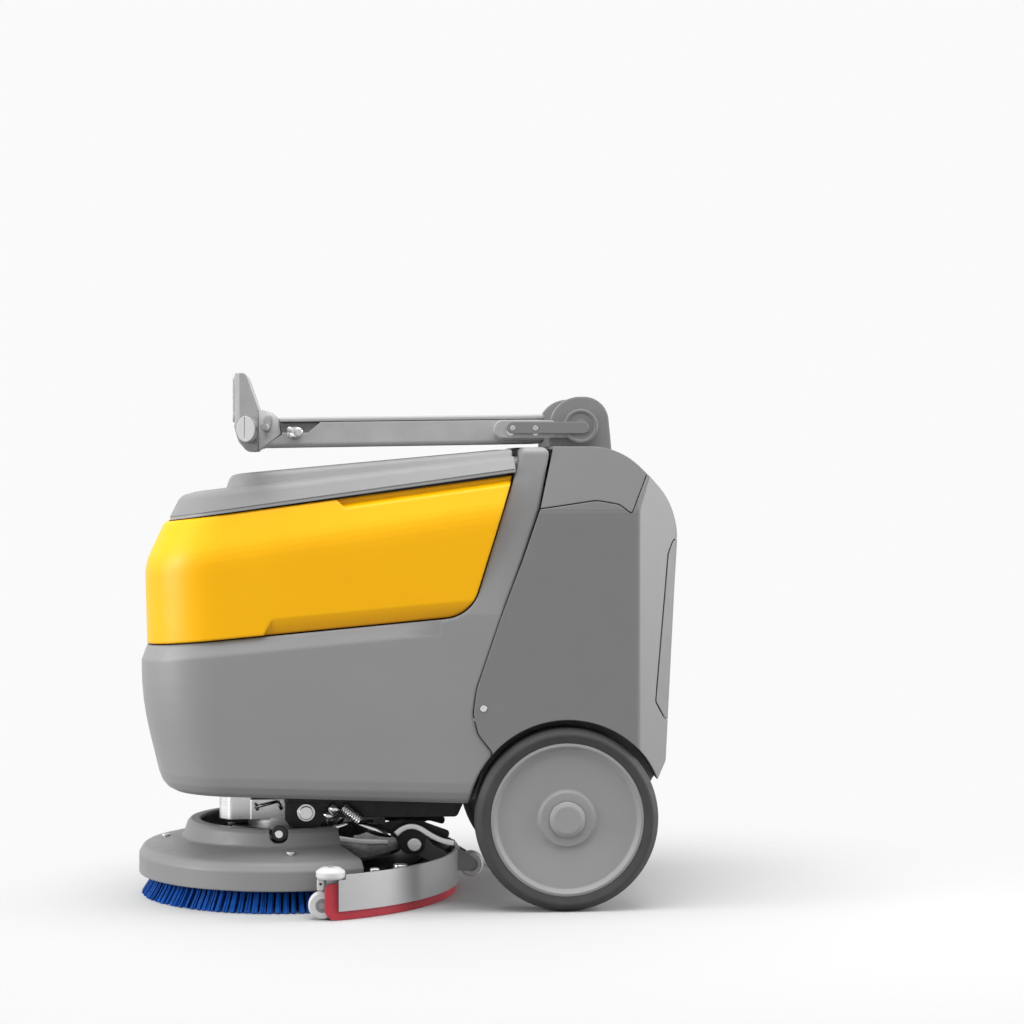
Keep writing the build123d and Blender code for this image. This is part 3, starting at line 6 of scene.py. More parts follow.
import bpy
import numpy as np
from bpy.props import FloatProperty, FloatVectorProperty, IntProperty, PointerProperty
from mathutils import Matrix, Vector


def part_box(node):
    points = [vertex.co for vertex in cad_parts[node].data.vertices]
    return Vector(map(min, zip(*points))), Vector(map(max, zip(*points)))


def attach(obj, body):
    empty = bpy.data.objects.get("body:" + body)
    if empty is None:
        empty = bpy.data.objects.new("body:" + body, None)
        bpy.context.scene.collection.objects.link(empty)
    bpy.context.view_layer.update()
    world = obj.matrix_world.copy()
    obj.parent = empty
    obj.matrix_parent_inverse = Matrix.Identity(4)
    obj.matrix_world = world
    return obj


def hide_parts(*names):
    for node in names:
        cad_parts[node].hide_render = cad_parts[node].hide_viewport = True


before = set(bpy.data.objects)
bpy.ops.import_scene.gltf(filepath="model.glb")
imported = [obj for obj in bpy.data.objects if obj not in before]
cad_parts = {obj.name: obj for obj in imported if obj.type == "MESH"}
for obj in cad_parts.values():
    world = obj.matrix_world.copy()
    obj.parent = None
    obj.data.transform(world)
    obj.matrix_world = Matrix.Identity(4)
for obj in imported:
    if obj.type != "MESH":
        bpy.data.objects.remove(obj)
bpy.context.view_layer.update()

bl_info = {
    "name": "Floor Scrubber Dresser",
    "version": (1, 0, 0),
    "blender": (4, 5, 0),
    "location": "3D View > Sidebar > Scrubber",
    "description": "Builds the finishes, tufts and small parts of a floor scrubber, and its studio",
    "category": "Object",
}

SIDES = (-1.0, 1.0)
TANK_SLOPE = 0.0936  # rise of the seam between the two tanks, per metre to the rear


def tint(name, words, value):
    """A colour property with four parts."""
    return FloatVectorProperty(name=name, description=words, subtype="COLOR", size=4,
                               min=0.0, max=1.0, default=value)


def length(name, words, value):
    """A property in metres."""
    return FloatProperty(name=name, description=words, default=value, unit="LENGTH")


def power(name, words, value):
    """A lamp's property in watts."""
    return FloatProperty(name=name, description=words, default=value, unit="POWER")


class ScrubberFinishes(bpy.types.PropertyGroup):
    """Colours of the moulded, painted and rubber finishes."""

    tank_grey: tint("Tank grey", "Lower tank and its pillar", (0.268, 0.268, 0.271, 1))
    shell_grey: tint("Shell grey", "Rear shell, cap and hatch", (0.188, 0.188, 0.191, 1))
    lid_grey: tint("Lid grey", "Lid", (0.242, 0.242, 0.245, 1))
    arm_grey: tint("Arm grey", "Arm, links and console", (0.385, 0.385, 0.39, 1))
    lug_grey: tint("Lug grey", "Pivot lugs", (0.212, 0.212, 0.215, 1))
    yellow: tint("Yellow", "Recovery tank", (1.0, 0.49, 0.0, 1))
    # painted shade: dark amber standing for the shade inside the recovery tank's lower scoop
    scoop_painted_shade: tint("Amber", "Recovery tank in its lower scoop", (0.42, 0.12, 0.0, 1))
    deck_grey: tint("Deck grey", "Brush deck cover", (0.225, 0.225, 0.229, 1))
    trim: tint("Trim", "Head housing, grip caps and console edge", (0.66, 0.66, 0.665, 1))
    hub_grey: tint("Hub grey", "Wheel hubs and caps", (0.292, 0.292, 0.297, 1))
    tyre_grey: tint("Tyre grey", "Tyres", (0.052, 0.052, 0.054, 1))
    frame_grey: tint("Frame grey", "Squeegee frame", (0.12, 0.12, 0.123, 1))
    black: tint("Black", "Steel frame, arm and plates", (0.012, 0.012, 0.0135, 1))
    steel: tint("Steel", "Bolts and screws", (0.62, 0.62, 0.63, 1))
    silver: tint("Silver", "Squeegee strip and gearbox", (0.62, 0.62, 0.63, 1))
    red: tint("Red", "Squeegee blades", (0.44, 0.022, 0.04, 1))
    blue: tint("Blue", "Brush bristles", (0.0, 0.062, 0.31, 1))
    white: tint("White", "Rollers", (0.64, 0.64, 0.64, 1))


class ScrubberBrush(bpy.types.PropertyGroup):
    """Tufts of the round brush."""

    strands: IntProperty(name="Strands", description="Filaments in each tuft",
                         default=14, min=3, max=24)
    thickness: length("Thickness", "Filament width", 0.0022)
    spread: length("Spread", "Half width of a tuft at its tips", 0.0030)


class ScrubberLinkage(bpy.types.PropertyGroup):
    """Small parts between the deck and the squeegee arm and on the handle's links."""

    link_y: length("Link place", "Place of the bright link across the machine", -0.1015)
    thread: length("Thread", "Height of the adjuster's thread", 0.0015)
    panel: length("Panel", "Height of the raised panels on the link bars", 0.0012)


class ScrubberEdges(bpy.types.PropertyGroup):
    """Small edge forms of the lid and the lower tank."""

    lip: length("Lip", "Height of the lip under the lid's edge", 0.0040)
    fairing: length("Fairing", "Length over which the rim's bevel runs out", 0.060)


class ScrubberStage(bpy.types.PropertyGroup):
    """Camera, floor and light."""

    lens: FloatProperty(name="Lens", description="Focal length on a 36 mm sensor", default=90.84)
    backdrop: FloatProperty(name="Backdrop", description="Brightness of the background",
                            default=0.955)
    key: power("Key", "Power of the light in front of the machine", 34.0)
    rear: power("Rear", "Power of the light behind the machine", 42.0)
    top: power("Top", "Power of the light overhead", 58.0)
    fill: FloatProperty(name="Fill", description="Strength of the soft light from above",
                        default=0.82)


class Tree:
    """The node tree of a material or world, with short ways to add and link nodes."""

    def __init__(self, owner):
        owner.use_nodes = True
        self.tree = owner.node_tree
        self.tree.nodes.clear()

    def add(self, kind, **settings):
        """A new node of a kind, with its settings."""
        node = self.tree.nodes.new("ShaderNode" + kind)
        for key, value in settings.items():
            setattr(node, key, value)
        return node

    def link(self, a, a_socket, b, b_socket):
        """Links an output of one node to an input of another."""
        self.tree.links.new(a.outputs[a_socket], b.inputs[b_socket])

    def feed(self, node, sources):
        """Fills a node's first inputs, each from an output or with a plain value."""
        for socket, source in zip(node.inputs, sources):
            if isinstance(source, bpy.types.NodeSocket):
                self.tree.links.new(source, socket)
            else:
                socket.default_value = source

    def number(self, operation, *sources):
        """Output of a step of arithmetic on numbers."""
        node = self.add("Math", operation=operation)
        self.feed(node, sources)
        return node.outputs["Value"]

    def vector(self, operation, *sources, out="Vector"):
        """Output of a step of arithmetic on places."""
        node = self.add("VectorMath", operation=operation)
        self.feed(node, sources)
        return node.outputs[out]

    def seen_directly(self):
        """One for rays from the camera and for mirrored ones, zero for the rest."""
        ray = self.add("LightPath")
        return self.number("MAXIMUM", ray.outputs["Is Camera Ray"], ray.outputs["Is Glossy Ray"])

    def span(self, source, start, stop, low=0.0, high=1.0, **settings):
        """Output that goes from low to high while the source goes from start to stop."""
        node = self.add("MapRange", **settings)
        self.feed(node, (source, start, stop, low, high))
        return node.outputs["Result"]

    def ramp(self, source, *stops):
        """Colour that changes between two stops, each a place and a colour."""
        node = self.add("ValToRGB")
        for element, (position, colour) in zip(node.color_ramp.elements, stops):
            element.position = position
            element.color = colour
        self.tree.links.new(source, node.inputs["Fac"])
        return node.outputs["Color"]

    def blend(self, share, *colours):
        """Colour between two others, each an output or a plain value."""
        node = self.add("MixRGB")
        self.feed(node, (share, *colours))
        return node.outputs["Color"]


class Wiring(Tree):
    """A material with its main shader and its patterns on Object coordinates."""

    def __init__(self, name):
        self.material = bpy.data.materials.new(name)
        super().__init__(self.material)
        self.out = self.add("OutputMaterial")
        self.shader = self.add("BsdfPrincipled")
        self.link(self.shader, "BSDF", self.out, "Surface")
        self.place = self.add("TexCoord").outputs["Object"]

    def set(self, **values):
        """Sets plain values on the shader, an underscore standing for a space in a name."""
        for key, value in values.items():
            self.shader.inputs[key.replace("_", " ")].default_value = value

    def lead(self, source, socket):
        """Leads an output to the shader."""
        self.tree.links.new(source, self.shader.inputs[socket])

    def noise(self, scale, detail=2.0, roughness=0.5, place=None):
        """Cloudy pattern, between 0 and 1 with most of it near 0.5."""
        node = self.add("TexNoise")
        node.inputs["Scale"].default_value = scale
        node.inputs["Detail"].default_value = detail
        node.inputs["Roughness"].default_value = roughness
        self.tree.links.new(self.place if place is None else place, node.inputs["Vector"])
        return node.outputs["Fac"]

    def between(self, source, low, high):
        """Colour between two tints, led by a cloudy pattern."""
        return self.ramp(source, (0.3, low), (0.7, high))

    def vary_colour(self, source, low, high):
        """Base colour between two tints, led by a cloudy pattern."""
        self.lead(self.between(source, low, high), "Base Color")

    def vary_roughness(self, source, low, high):
        """Roughness between two values, led by a cloudy pattern."""
        self.lead(self.span(source, 0.3, 0.7, low, high), "Roughness")

    def relief(self, source, strength, depth, soften=0.0):
        """Bump from a pattern, with edges softened over a small radius."""
        bump = self.add("Bump")
        bump.inputs["Strength"].default_value = strength
        bump.inputs["Distance"].default_value = depth
        self.tree.links.new(source, bump.inputs["Height"])
        if soften > 0.0:
            edge = self.add("Bevel", samples=6)
            edge.inputs["Radius"].default_value = soften
            self.link(edge, "Normal", bump, "Normal")
        self.lead(bump.outputs["Normal"], "Normal")


def shade(colour, factor):
    """The colour made lighter or darker."""
    return tuple(min(1.0, c * factor) for c in colour[:3]) + (1.0,)


def moulded_wiring(name, colour, rough, soften):
    """Moulded plastic: fine spark grain, faint flow marks in tone and gloss."""
    w = Wiring(name)
    w.vary_colour(w.noise(7.0, detail=4.0), shade(colour, 0.975), shade(colour, 1.025))
    w.vary_roughness(w.noise(60.0, detail=3.0), rough - 0.05, rough + 0.05)
    w.relief(w.noise(1500.0, detail=1.0), strength=0.22, depth=0.00012, soften=soften)
    w.set(Specular_IOR_Level=0.42)
    return w


def moulded_plastic(name, colour, rough=0.46, soften=0.0022):
    """Moulded plastic of one colour."""
    return moulded_wiring(name, colour, rough, soften).material


def plastic_with_painted_scoop_shade(name, colour, scoop_shade):
    """Moulded plastic with painted shade in the scoops low on its sides: its colour turns to the
    dark scoop shade with the depth from the side faces. A scoop lies behind its front end and below
    a line that rises to the rear."""
    side_face, scoop_floor = 0.1978, 0.1865
    scoop_front, scoop_top = -0.186, 0.3956
    w = moulded_wiring(name, colour, rough=0.4, soften=0.005)
    w.set(Specular_IOR_Level=0.3)
    tone = w.shader.inputs["Base Color"].links[0].from_socket
    parts = w.add("SeparateXYZ")
    w.tree.links.new(w.place, parts.inputs["Vector"])
    x, y, z = (parts.outputs[axis] for axis in "XYZ")
    depth = w.span(w.number("ABSOLUTE", y), side_face, scoop_floor)
    above = w.number("SUBTRACT", z, w.number("MULTIPLY", x, TANK_SLOPE))
    low = w.number("LESS_THAN", above, scoop_top)
    behind = w.number("GREATER_THAN", x, scoop_front)
    share = w.number("MULTIPLY", w.number("MULTIPLY", low, behind), depth)
    # painted shade: the colour is blended towards the dark amber with the scoop's depth
    w.lead(w.blend(share, tone, scoop_shade), "Base Color")
    return w.material


def rubber(name, colour):
    """Rubber: dusty tone changes and a soft fine grain."""
    w = Wiring(name)
    dust = w.noise(22.0, detail=6.0, roughness=0.6)
    w.vary_colour(dust, shade(colour, 0.86), shade(colour, 1.12))
    w.vary_roughness(w.noise(90.0, detail=3.0), 0.61, 0.75)
    w.relief(w.noise(900.0), strength=0.3, depth=0.00015, soften=0.0015)
    w.set(Specular_IOR_Level=0.3)
    return w.material


def satin_metal(name, colour, rough=0.34, streak=(40.0, 40.0, 900.0), soften=0.0008, contrast=1.0):
    """Metal with fine drawn streaks along two axes."""
    w = Wiring(name)
    turn = w.add("Mapping")
    turn.inputs["Scale"].default_value = streak
    w.tree.links.new(w.place, turn.inputs["Vector"])
    lines = w.noise(1.0, detail=3.0, place=turn.outputs["Vector"])
    w.vary_colour(lines, shade(colour, 1.0 - 0.1 * contrast), shade(colour, 1.0 + 0.08 * contrast))
    w.vary_roughness(lines, rough - 0.08 * contrast, rough + 0.1 * contrast)
    w.relief(lines, strength=0.12 * contrast, depth=0.00008, soften=soften)
    w.set(Metallic=1.0)
    return w.material


def painted_steel(name, colour):
    """Powder-coated steel: small orange-peel relief and faint dust."""
    w = Wiring(name)
    dust = w.noise(35.0, detail=5.0, roughness=0.6)
    w.vary_colour(dust, shade(colour, 0.85), shade(colour, 1.5))
    w.vary_roughness(w.noise(120.0), 0.34, 0.52)
    w.relief(w.noise(700.0, detail=1.0), strength=0.25, depth=0.0002, soften=0.001)
    w.set(Specular_IOR_Level=0.25)
    return w.material


def zoned(name, base, accent, planes=(), hub=None, metal=(0.0, 0.0), rough=(0.45, 0.4),
          soften=0.001, join="MAXIMUM", spread=0.07):
    """Two finishes on one piece. The accent lies where x, y and z, weighed by a plane's first three
    numbers, come to more than its fourth, or within a hub's radius of its axis, given as centre,
    axis weights and radius. A join of MINIMUM asks for all of them at once."""
    w = Wiring(name)
    zones = []
    for *weights, least in planes:
        across = w.vector("DOT_PRODUCT", w.place, weights, out="Value")
        zones.append(w.number("GREATER_THAN", across, least))
    if hub:
        centre, weights, radius = hub
        flat = w.vector("MULTIPLY", w.vector("SUBTRACT", w.place, centre), weights)
        reach = w.vector("LENGTH", flat, out="Value")
        zones.append(w.number("LESS_THAN", reach, radius))
    share = zones[0]
    for zone in zones[1:]:
        share = w.number(join, share, zone)
    marks = w.noise(30.0, detail=4.0, roughness=0.6)
    tints = [w.between(marks, shade(colour, 1.0 - spread), shade(colour, 1.0 + spread))
             for colour in (base, accent)]
    w.lead(w.blend(share, *tints), "Base Color")
    for socket, (low, high) in (("Metallic", metal), ("Roughness", rough)):
        if low == high:
            w.shader.inputs[socket].default_value = low
        else:
            w.lead(w.span(share, 0.0, 1.0, low, high), socket)
    w.relief(w.noise(900.0, detail=1.0), strength=0.2, depth=0.0001, soften=soften)
    return w.material


def coat(material, *names):
    """Gives CAD nodes one finish."""
    for name in names:
        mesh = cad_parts[name].data
        mesh.materials.clear()
        mesh.materials.append(material)


def mesh_piece(name, points, faces, material, smooth=True):
    """A mesh object from arrays of points and faces."""
    mesh = bpy.data.meshes.new(name)
    mesh.from_pydata(points.tolist(), [], [list(face) for face in faces])
    mesh.update()
    mesh.polygons.foreach_set("use_smooth", np.full(len(mesh.polygons), smooth))
    mesh.materials.append(material)
    piece = bpy.data.objects.new(name, mesh)
    bpy.context.scene.collection.objects.link(piece)
    return piece


def circle(count, shift=0.0):
    """Angles of evenly spaced points round a circle, turned by a share of their spacing."""
    return 2 * np.pi * (np.arange(count) + shift) / count


def loft(rings):
    """Closed skin through equal rings of points, with flat ends, faces turned outwards: each face
    joins two neighbours on a ring to the same two on the next."""
    rings = np.asarray(rings, float)
    count, around = rings.shape[:2]
    i, k = np.meshgrid(np.arange(count - 1), np.arange(around), indexing="ij")
    here, there = i * around, (i + 1) * around
    follow = (k + 1) % around
    faces = np.stack([here + k, here + follow, there + follow, there + k], -1)
    faces = faces.reshape(-1, 4).tolist()
    faces.append(list(range(around))[::-1])
    faces.append(list(range((count - 1) * around, count * around)))
    points = rings.reshape(-1, 3)
    along = rings[-1].mean(0) - rings[0].mean(0)
    middle = rings[count // 2]
    spokes = middle - middle.mean(0)
    spin = np.cross(spokes, np.roll(middle, -1, 0) - middle.mean(0)).sum(0)
    if np.dot(spin, along) < 0:
        faces = [face[::-1] for face in faces]
    return points, faces


def merged(*skins):
    """Several skins as one set of points and faces."""
    points = []
    faces = []
    base = 0
    for some, more in skins:
        points.append(some)
        faces += [[index + base for index in face] for face in more]
        base += len(some)
    return np.concatenate(points), faces


def spindle(start, stop, shares, radii, sides=28):
    """Round body along a straight line: a circle at each share of the way, with its own radius."""
    start = np.array(start, float)
    way = np.array(stop, float) - start
    along = way / np.linalg.norm(way)
    across = np.cross(along, [0.0, 1.0, 0.0])
    if np.linalg.norm(across) <= 0.1:
        across = np.cross(along, [1.0, 0.0, 0.0])
    across /= np.linalg.norm(across)
    up = np.cross(along, across)
    turn = circle(sides)
    rim = np.cos(turn)[:, None] * across + np.sin(turn)[:, None] * up
    centres = start + np.array(shares)[:, None] * way
    return loft(centres[:, None] + np.array(radii)[:, None, None] * rim[None])


def side_plate(outline, y_from, y_to, edge):
    """Flat plate with an outline in X and Z; its far face is drawn in by a small rounded edge."""
    outline = np.array(outline, float)
    away = outline - outline.mean(0)
    away /= np.linalg.norm(away, axis=1)[:, None]
    step = np.sign(y_to - y_from) * edge
    rings = []
    for inset, y in ((0.0, y_from), (0.0, y_to - step), (0.3 * edge, y_to - 0.3 * step),
                     (edge, y_to)):
        flat = outline - away * inset
        rings.append(np.stack([flat[:, 0], np.full(len(flat), y), flat[:, 1]], 1))
    return loft(rings)


def stadium(x_from, x_to, z, half):
    """Outline of a bar whose two ends are half circles."""
    turn = np.linspace(-np.pi / 2, np.pi / 2, 14)
    right = np.stack([x_to - half + half * np.cos(turn), z + half * np.sin(turn)], 1)
    left = np.stack([x_from + half - half * np.cos(turn), z - half * np.sin(turn)], 1)
    return np.concatenate([right, left])


def rounded_square(count, squareness):
    """Outline two units wide with rounded corners: cosine and sine raised to a low power."""
    turn = circle(count, 0.5)
    waves = np.stack([np.cos(turn), np.sin(turn)])
    return np.sign(waves) * np.abs(waves) ** squareness


def ribbon(points, y_from, y_to, height, depth):
    """Flat bar along a smooth curve through points in X and Z: cubic pieces whose slopes at each
    point are half the step between its neighbours. Its place across runs evenly; its section is a
    rectangle with rounded corners."""
    steps = 48
    points = np.array(points, float)
    slope = np.gradient(points, axis=0)
    share = np.linspace(0, len(points) - 1, steps)
    k = np.minimum(share.astype(int), len(points) - 2)
    u = (share - k)[:, None]
    path = ((1 + 2 * u) * points[k] + u * slope[k]) * (1 - u) ** 2
    path += ((3 - 2 * u) * points[k + 1] - (1 - u) * slope[k + 1]) * u ** 2
    along = np.gradient(path, axis=0)
    along /= np.linalg.norm(along, axis=1)[:, None]
    out = np.stack([-along[:, 1], along[:, 0]], 1)
    flat, tall = rounded_square(16, squareness=0.35)
    y = np.linspace(y_from, y_to, steps)[:, None] + (flat * depth / 2)[None]
    x = path[:, :1] + out[:, :1] * (tall * height / 2)[None]
    z = path[:, 1:] + out[:, 1:] * (tall * height / 2)[None]
    return loft(np.stack([x, y, z], -1))


class SCRUBBER_OT_body(bpy.types.Operator):
    """Finishes of tanks, lid, shell, cap and hatch"""

    bl_idname = "scrubber.body"
    bl_label = "Body finishes"

    def execute(self, context):
        f = context.scene.scrubber_finishes
        # painted shade: the shell's leaning band under the cap's seam is darkened to the side
        # panel's shaded tone
        shade_band_foot, shade_band_rear = 0.5004, 0.2872  # darker band of the shell under the cap's seam
        coat(moulded_plastic("tank_grey", f.tank_grey, soften=0.006), "solution_tank")
        coat(moulded_plastic("shell_grey", f.shell_grey), "service_hatch", "top_cap")
        shade_band = [(0.0, 0.0, 1.0, shade_band_foot), (-1.0, 0.0, 0.0, -shade_band_rear)]
        coat(zoned("shell_panel", f.shell_grey, shade(f.shell_grey, 0.77), shade_band,
                   rough=(0.46, 0.46), soften=0.0022, join="MINIMUM", spread=0.02), "rear_shell")
        coat(moulded_plastic("lid_grey", f.lid_grey), "lid")
        coat(plastic_with_painted_scoop_shade("tank_yellow", f.yellow, f.scoop_painted_shade), "recovery_tank")
        coat(rubber("seal_black", f.black), "lid_seal")
        coat(painted_steel("frame_black", f.black), "chassis")
        coat(moulded_plastic("lug_grey", f.lug_grey, soften=0.004), "pivot_bracket")
        coat(moulded_plastic("inner_black", f.black),
             "batteries", "control_unit", "suction_motor", "solution_valve")
        coat(satin_metal("bolt_steel", f.steel),
             "axle", "shell_screws", "yoke_bolts", "lid_hinge_pins")
        return {"FINISHED"}


class SCRUBBER_OT_wheels(bpy.types.Operator):
    """Finishes of tyres, hubs and caps"""

    bl_idname = "scrubber.wheels"
    bl_label = "Wheel finishes"

    def execute(self, context):
        f = context.scene.scrubber_finishes
        coat(rubber("tyre_rubber", f.tyre_grey), "left_tyre", "right_tyre")
        coat(moulded_plastic("hub_grey", f.hub_grey),
             "left_hub", "right_hub", "left_hub_cap", "right_hub_cap")
        return {"FINISHED"}


class SCRUBBER_OT_handle(bpy.types.Operator):
    """Finishes of arm, links, console, grips and levers"""

    bl_idname = "scrubber.handle"
    bl_label = "Handle finishes"

    def execute(self, context):
        f = context.scene.scrubber_finishes
        notch_foot = 0.5987
        notch_slant = (-0.654, 0.0, 0.757, 0.5344)
        console_edge = -0.2112
        coat(moulded_plastic("arm_grey", f.arm_grey),
             "arm_cover", "link_bars", "left_trigger", "right_trigger")
        coat(zoned("arm_notched", f.arm_grey, f.shell_grey,
                   [(0.0, 0.0, 1.0, notch_foot), notch_slant],
                   join="MINIMUM", soften=0.002), "handle_arm")
        coat(zoned("console_grey", shade(f.arm_grey, 0.84), shade(f.trim, 0.75),
                   [(-1.0, 0.0, 0.0, -console_edge)], soften=0.003), "console")
        coat(moulded_plastic("grip_grey", f.shell_grey, 0.55), "grip_bars")
        coat(moulded_plastic("trim_light", shade(f.trim, 0.8), 0.4), "control_panel")
        # painted light: the head housing and grip caps take the trim colour made a little lighter,
        # for the shade they sit in
        coat(moulded_plastic("housing_painted_light", shade(f.trim, 1.06), 0.36),
             "grip_caps", "head_housing")
        coat(moulded_plastic("button_grey", f.shell_grey, 0.4),
             "brush_button", "suction_button", "water_button")
        coat(satin_metal("lever_steel", f.steel), "lift_lever", "link_screws")
        coat(moulded_plastic("disc_grey", shade(f.shell_grey, 0.95), 0.42), "pivot_shaft")
        return {"FINISHED"}


class SCRUBBER_OT_deck(bpy.types.Operator):
    """Finishes of deck, gearbox and motor"""

    bl_idname = "scrubber.deck"
    bl_label = "Deck finishes"

    def execute(self, context):
        f = context.scene.scrubber_finishes
        bolt_face = -0.1222
        coat(moulded_plastic("deck_grey", f.deck_grey), "deck_cover")
        coat(painted_steel("deck_black", f.black), "deck_plate", "brush_motor")
        coat(zoned("rod_black", f.black, f.steel, [(0.0, -1.0, 0.0, -bolt_face)],
                   metal=(0.0, 1.0), rough=(0.4, 0.25)), "pull_rod")
        coat(moulded_plastic("brush_black", f.black), "brush_plate")
        coat(satin_metal("gearbox_silver", f.silver), "gearbox", "deck_screws")
        return {"FINISHED"}


class SCRUBBER_OT_squeegee(bpy.types.Operator):
    """Finishes of squeegee, arm, blades and rollers"""

    bl_idname = "scrubber.squeegee"
    bl_label = "Squeegee finishes"

    def execute(self, context):
        f = context.scene.scrubber_finishes
        fork_front, end_block = 0.0705, 0.221
        brush_axis = (-0.1924, 0.0, 0.0)
        inner_blade = 0.2472
        coat(painted_steel("arm_black", f.black), "swivel_ring", "squeegee_arm")
        ends = [(1.0, 0.0, 0.0, fork_front),
                (0.0, 1.0, 0.0, end_block), (0.0, -1.0, 0.0, end_block)]
        coat(zoned("squeegee_grey", f.frame_grey, f.hub_grey, ends, rough=(0.5, 0.35)),
             "squeegee_frame")
        coat(satin_metal("knob_steel", f.steel), "squeegee_knobs", "tilt_bolts")
        coat(satin_metal("strip_silver", shade(f.silver, 0.68), 0.46, (30.0, 30.0, 1200.0),
                         contrast=0.25), "squeegee_strip")
        coat(zoned("blade_red", f.red, f.black, hub=(brush_axis, (1.0, 1.0, 0.0), inner_blade),
                   rough=(0.5, 0.6)), "squeegee_blades")
        coat(moulded_plastic("roller_white", f.white, 0.4),
             "left_bumper_roller", "right_bumper_roller")
        for name, share in (("left_support_wheel", 0.5), ("right_support_wheel", 0.5),
                            ("rear_roller", 0.55)):
            low, high = (np.array(v, float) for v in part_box(name))
            hub = ((low + high) / 2, (1.0, 0.0, 1.0), share * (high[2] - low[2]) / 2)
            coat(zoned(name + "_white", f.white, f.deck_grey, hub=hub), name)
        return {"FINISHED"}


class SCRUBBER_OT_bristles(bpy.types.Operator):
    """Rings of tufts, each a bundle of thin filaments that spread towards the floor"""

    bl_idname = "scrubber.bristles"
    bl_label = "Brush bristles"

    def execute(self, context):
        """Filament k of tuft i starts at its root circle and runs on a straight line with a slight
        bow to the tip circle; its four sides stand at half its width round that line."""
        p = context.scene.scrubber_brush
        f = context.scene.scrubber_finishes
        tuft_rings = ((120, 0.1685, 0.1868), (100, 0.152, 0.162),
                      (80, 0.136, 0.141), (60, 0.120, 0.121))
        root_spread, root_fan, sunk_root = 0.0026, 0.68, 0.002
        uneven_tips = 0.0012
        low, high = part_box("brush_bristles")
        centre = np.array([(low[0] + high[0]) / 2, (low[1] + high[1]) / 2])
        root_z = high[2] - sunk_root
        rng = np.random.default_rng(7)
        starts = []
        stops = []
        for count, root, tip in tuft_rings:
            turn = np.repeat(circle(count), p.strands)
            fan = rng.uniform(-1, 1, (2, turn.size))
            around = fan[0] * p.spread / tip
            starts.append(np.stack([root + fan[1] * root_spread, turn + root_fan * around], 1))
            stops.append(np.stack([tip + fan[1] * p.spread, turn + around], 1))
        starts = np.concatenate(starts)
        stops = np.concatenate(stops)
        steps = np.array([0.0, 0.5, 1.0])[None, :]
        bow = 1.0 - 0.5 * (1 - steps)
        radius = starts[:, :1] + (stops[:, :1] - starts[:, :1]) * steps * bow
        turn = starts[:, 1:] + (stops[:, 1:] - starts[:, 1:]) * steps
        tips = rng.uniform(0.0, uneven_tips, (len(starts), 1))
        z = root_z + (tips - root_z) * steps
        corner = np.array([[1, 1], [-1, 1], [-1, -1], [1, -1]]) * p.thickness / 2
        r = radius[:, :, None] + corner[None, None, :, 0]
        side = corner[None, None, :, 1]
        x = centre[0] + r * np.cos(turn)[:, :, None] - side * np.sin(turn)[:, :, None]
        y = centre[1] + r * np.sin(turn)[:, :, None] + side * np.cos(turn)[:, :, None]
        points = np.stack([x, y, np.broadcast_to(z[:, :, None], x.shape)], -1).reshape(-1, 3)
        corners_each = 4 * steps.size
        first = (np.arange(len(starts)) * corners_each)[:, None, None]
        k = np.arange(4)
        quad = np.stack([k, (k + 1) % 4, (k + 1) % 4 + 4, k + 4], 1)
        walls = np.concatenate([quad, quad + 4])[None]
        caps = np.array([[3, 2, 1, 0], [8, 9, 10, 11]])[None]
        faces = (np.concatenate([walls, caps], 1) + first).reshape(-1, 4)
        w = Wiring("bristle_blue")
        w.vary_colour(w.noise(130.0), shade(f.blue, 0.7), shade(f.blue, 1.3))
        w.vary_roughness(w.noise(300.0), 0.5, 0.7)
        w.set(Specular_IOR_Level=0.15)
        piece = mesh_piece("bristles", points, faces[:, ::-1], w.material, False)
        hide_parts("brush_bristles")
        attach(piece, "brush")
        return {"FINISHED"}


